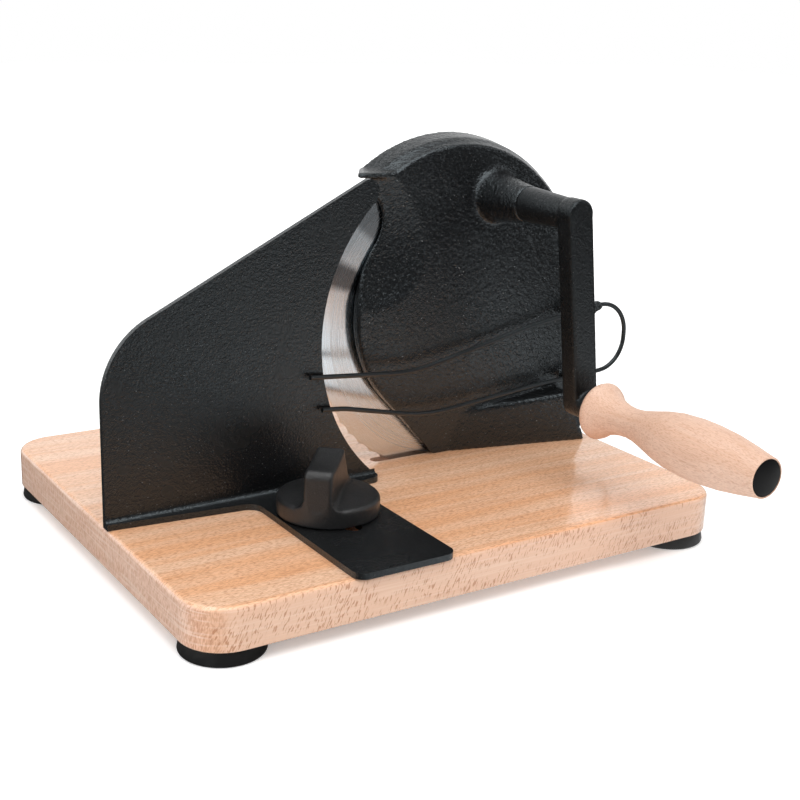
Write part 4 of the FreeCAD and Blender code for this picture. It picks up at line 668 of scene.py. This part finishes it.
# Crank arm
# A second aluminium casting: a flat bar with a long round hub that clamps on the shaft.
# It is coated like the housing, with a duller and finer grain.
arm = cast_copy("crank_arm", "crank_arm_cast", cell=0.0006, smoothing=4)
arm_coat = black_coat("arm_coat", grain_size=0.0013, depth=0.00036, rough_low=0.26,
                      rough_high=0.34, shine=0.55)
arm.data.materials.append(arm_coat)
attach(arm, "crank")
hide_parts("crank_arm")


# Handle
# Turned beech with a mushroom flange, a slim neck and a swelling grip, sanded fine and lightly oiled.
# A bore takes the spindle; a wide recess in the outer end takes the cap.
flange_radius = 0.0145
neck_radius = 0.0075
grip_radius = 0.0145
end_radius = 0.0097
end_round = 0.0006
bore_radius = 0.0041
recess_radius = 0.0088
recess_depth = 0.0030
handle_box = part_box("wooden_handle")
handle_axis = ((handle_box[0].x + handle_box[1].x) / 2, (handle_box[0].z + handle_box[1].z) / 2)
handle_start = (handle_axis[0], handle_box[1].y, handle_axis[1])
handle_length = handle_box[1].y - handle_box[0].y
# Radius and distance from the arm's side
handle_curve = [
    (flange_radius * 0.78, 0.0), (flange_radius * 0.90, 0.0003), (flange_radius * 0.97, 0.0012),
    (flange_radius, 0.0025), (flange_radius * 0.95, 0.0041), (flange_radius * 0.85, 0.0059),
    (neck_radius * 1.36, 0.0099), (neck_radius * 1.18, 0.0139), (neck_radius * 1.05, 0.0184),
    (neck_radius, 0.0239), (neck_radius * 1.08, 0.0299), (grip_radius * 0.69, 0.0379),
    (grip_radius * 0.84, 0.0459), (grip_radius * 0.945, 0.0539), (grip_radius, 0.0659),
    (grip_radius * 0.99, 0.0749), (grip_radius * 0.925, 0.0869), (grip_radius * 0.805, 0.0979),
    (end_radius, handle_length - 2 * end_round)]
handle_end = rounded_corner(end_radius - end_round, handle_length - 0.0007, end_round, 0, 90, 3)
handle_inside = [(recess_radius, handle_length), (recess_radius, handle_length - recess_depth),
                 (bore_radius, handle_length - recess_depth), (bore_radius, 0.0),
                 (flange_radius * 0.78, 0.0)]
bm = turned_shape(handle_curve + handle_end + handle_inside, (0, -1, 0), handle_start, 96)
handle = finish_mesh("beech_handle", bm, 50.0)

handle_pale = (0.80, 0.555, 0.43, 1)
handle_tan = (0.74, 0.48, 0.35, 1)
handle_ring = (0.66, 0.39, 0.26, 1)
handle_fleck = (0.50, 0.24, 0.15, 1)
handle_fleck_size = (0.00040, 0.0022, 0.00040)
handle_fleck_share = 0.36
handle_wood, tree, shader = start_material("sanded_beech", (0.80, 0.54, 0.41), 0.5)
along = sized(tree, (0.8, 0.8, 0.8), centre=handle_start, turned=(0, 0, math.radians(90)))
grain = place(tree, "Group", {"Place": along, "Pale": handle_pale, "Tan": handle_tan,
                              "Ring": handle_ring}, node_tree=beech_grain)
dashes = flecks(tree, handle_fleck_size, 0.56)
wood = laid_over(tree, grain.outputs["Color"], dashes, handle_fleck_share, handle_fleck)
tree.links.new(wood, shader["Base Color"])
tree.links.new(stepped(tree, grain.outputs["Height"], 0.2, 0.8, 0.45, 0.60), shader["Roughness"])
tree.links.new(bumped(tree, grain.outputs["Height"], 0.00004, 0.6), shader["Normal"])
shader["Specular IOR Level"].default_value = 0.4
handle.data.materials.append(handle_wood)
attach(handle, "handle")
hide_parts("wooden_handle")


# End cap
# A moulded black plastic cap with a slightly domed face, pressed into the handle's outer end.
# The guide keys and the blade's wide screw are moulded in the same plastic.
cap_radius = 0.0087
cap_bulge = 0.0008
cap_edge_drop = 0.0005
cap_depth = 0.0030
dome_share = 0.93
dome_steps = 6
cap_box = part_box("handle_end_cap")
cap_face = (handle_axis[0], cap_box[0].y + cap_bulge, handle_axis[1])
cap_profile = []
for step in range(dome_steps + 1):
    outward = step / dome_steps
    cap_profile.append((cap_radius * outward * dome_share, cap_bulge * (1 - outward ** 2)))
cap_profile += [(cap_radius * 0.975, -0.0001), (cap_radius, -cap_edge_drop), (cap_radius, -cap_depth),
                (0.0, -cap_depth)]
cap = finish_mesh("handle_cap", turned_shape(cap_profile, (0, -1, 0), cap_face, 72), 60.0)

cap_skin_size = (0.0005, 0.0005, 0.0005)
cap_cloud_size = (0.004, 0.004, 0.004)
cap_plastic, tree, shader = start_material("cap_plastic", (0.007, 0.007, 0.0075), 0.3)
skin = noise(tree, sized(tree, cap_skin_size), 1.0)
clouds = noise(tree, sized(tree, cap_cloud_size), 2.0)
tree.links.new(stepped(tree, clouds, 0.3, 0.7, 0.28, 0.38), shader["Roughness"])
tree.links.new(bumped(tree, skin, 0.000008), shader["Normal"])
shader["Specular IOR Level"].default_value = 0.1
cap.data.materials.append(cap_plastic)
keep_nodes(["guide_keys", "blade_screw"], cap_plastic)
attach(cap, "handle")
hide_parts("handle_end_cap")


# Stop plate
# A bent metal plate with a round cut-out for the blade and a tongue that slides on the board's top.
# It has the same black coat as the housing, with a slightly finer grain.
plate_edge_softness = 0.0008
stop = finish_mesh("stop_plate_coated", merged_copy("stop_plate"), 30.0)
soften(stop, plate_edge_softness, 4)
stop.data.materials.clear()
plate_coat = black_coat("plate_coat", grain_size=0.0013, depth=0.00034, rough_low=0.20,
                        rough_high=0.28, shine=0.85)
stop.data.materials.append(plate_coat)
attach(stop, "stop")
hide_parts("stop_plate")


# Clamp knob
# Moulded black plastic with a fine grain, and grey specks painted in as glints: a low disc with a tall
# grip fin.
# It turns on the clamp bolt and presses the tongue on the board.
knob = cast_copy("clamp_knob", "clamp_knob_moulded", cell=0.00045, smoothing=8)
knob_grain_size = (0.0007, 0.0007, 0.0007)
knob_glint_share = 0.35
knob_black = (0.012, 0.012, 0.0125, 1)
knob_painted_glint = (0.4, 0.4, 0.4, 1)
knob_plastic, tree, shader = start_material("knob_plastic", knob_black[:3], 0.4)
knob_grain = place(tree, "Group", {"Place": sized(tree, knob_grain_size)}, node_tree=coat_texture).outputs
# Painted highlight: grey glint specks laid into the black
tone = laid_over(tree, knob_black, knob_grain["Glint"], knob_glint_share, knob_painted_glint)
tree.links.new(tone, shader["Base Color"])
tree.links.new(stepped(tree, knob_grain["Cloud"], 0.3, 0.7, 0.30, 0.40), shader["Roughness"])
tree.links.new(bumped(tree, knob_grain["Height"], 0.00022), shader["Normal"])
shader["Specular IOR Level"].default_value = 0.7
knob.data.materials.append(knob_plastic)
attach(knob, "knob")
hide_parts("clamp_knob")


# Slice guide
# One round steel wire bent to a long hairpin and coated black.
# Its legs pass through two lugs of the housing.
wire_coat = black_coat("wire_coat", grain_size=0.0006, depth=0.00002, rough_low=0.30, rough_high=0.40)
keep_nodes(["slice_guide_wire"], wire_coat)
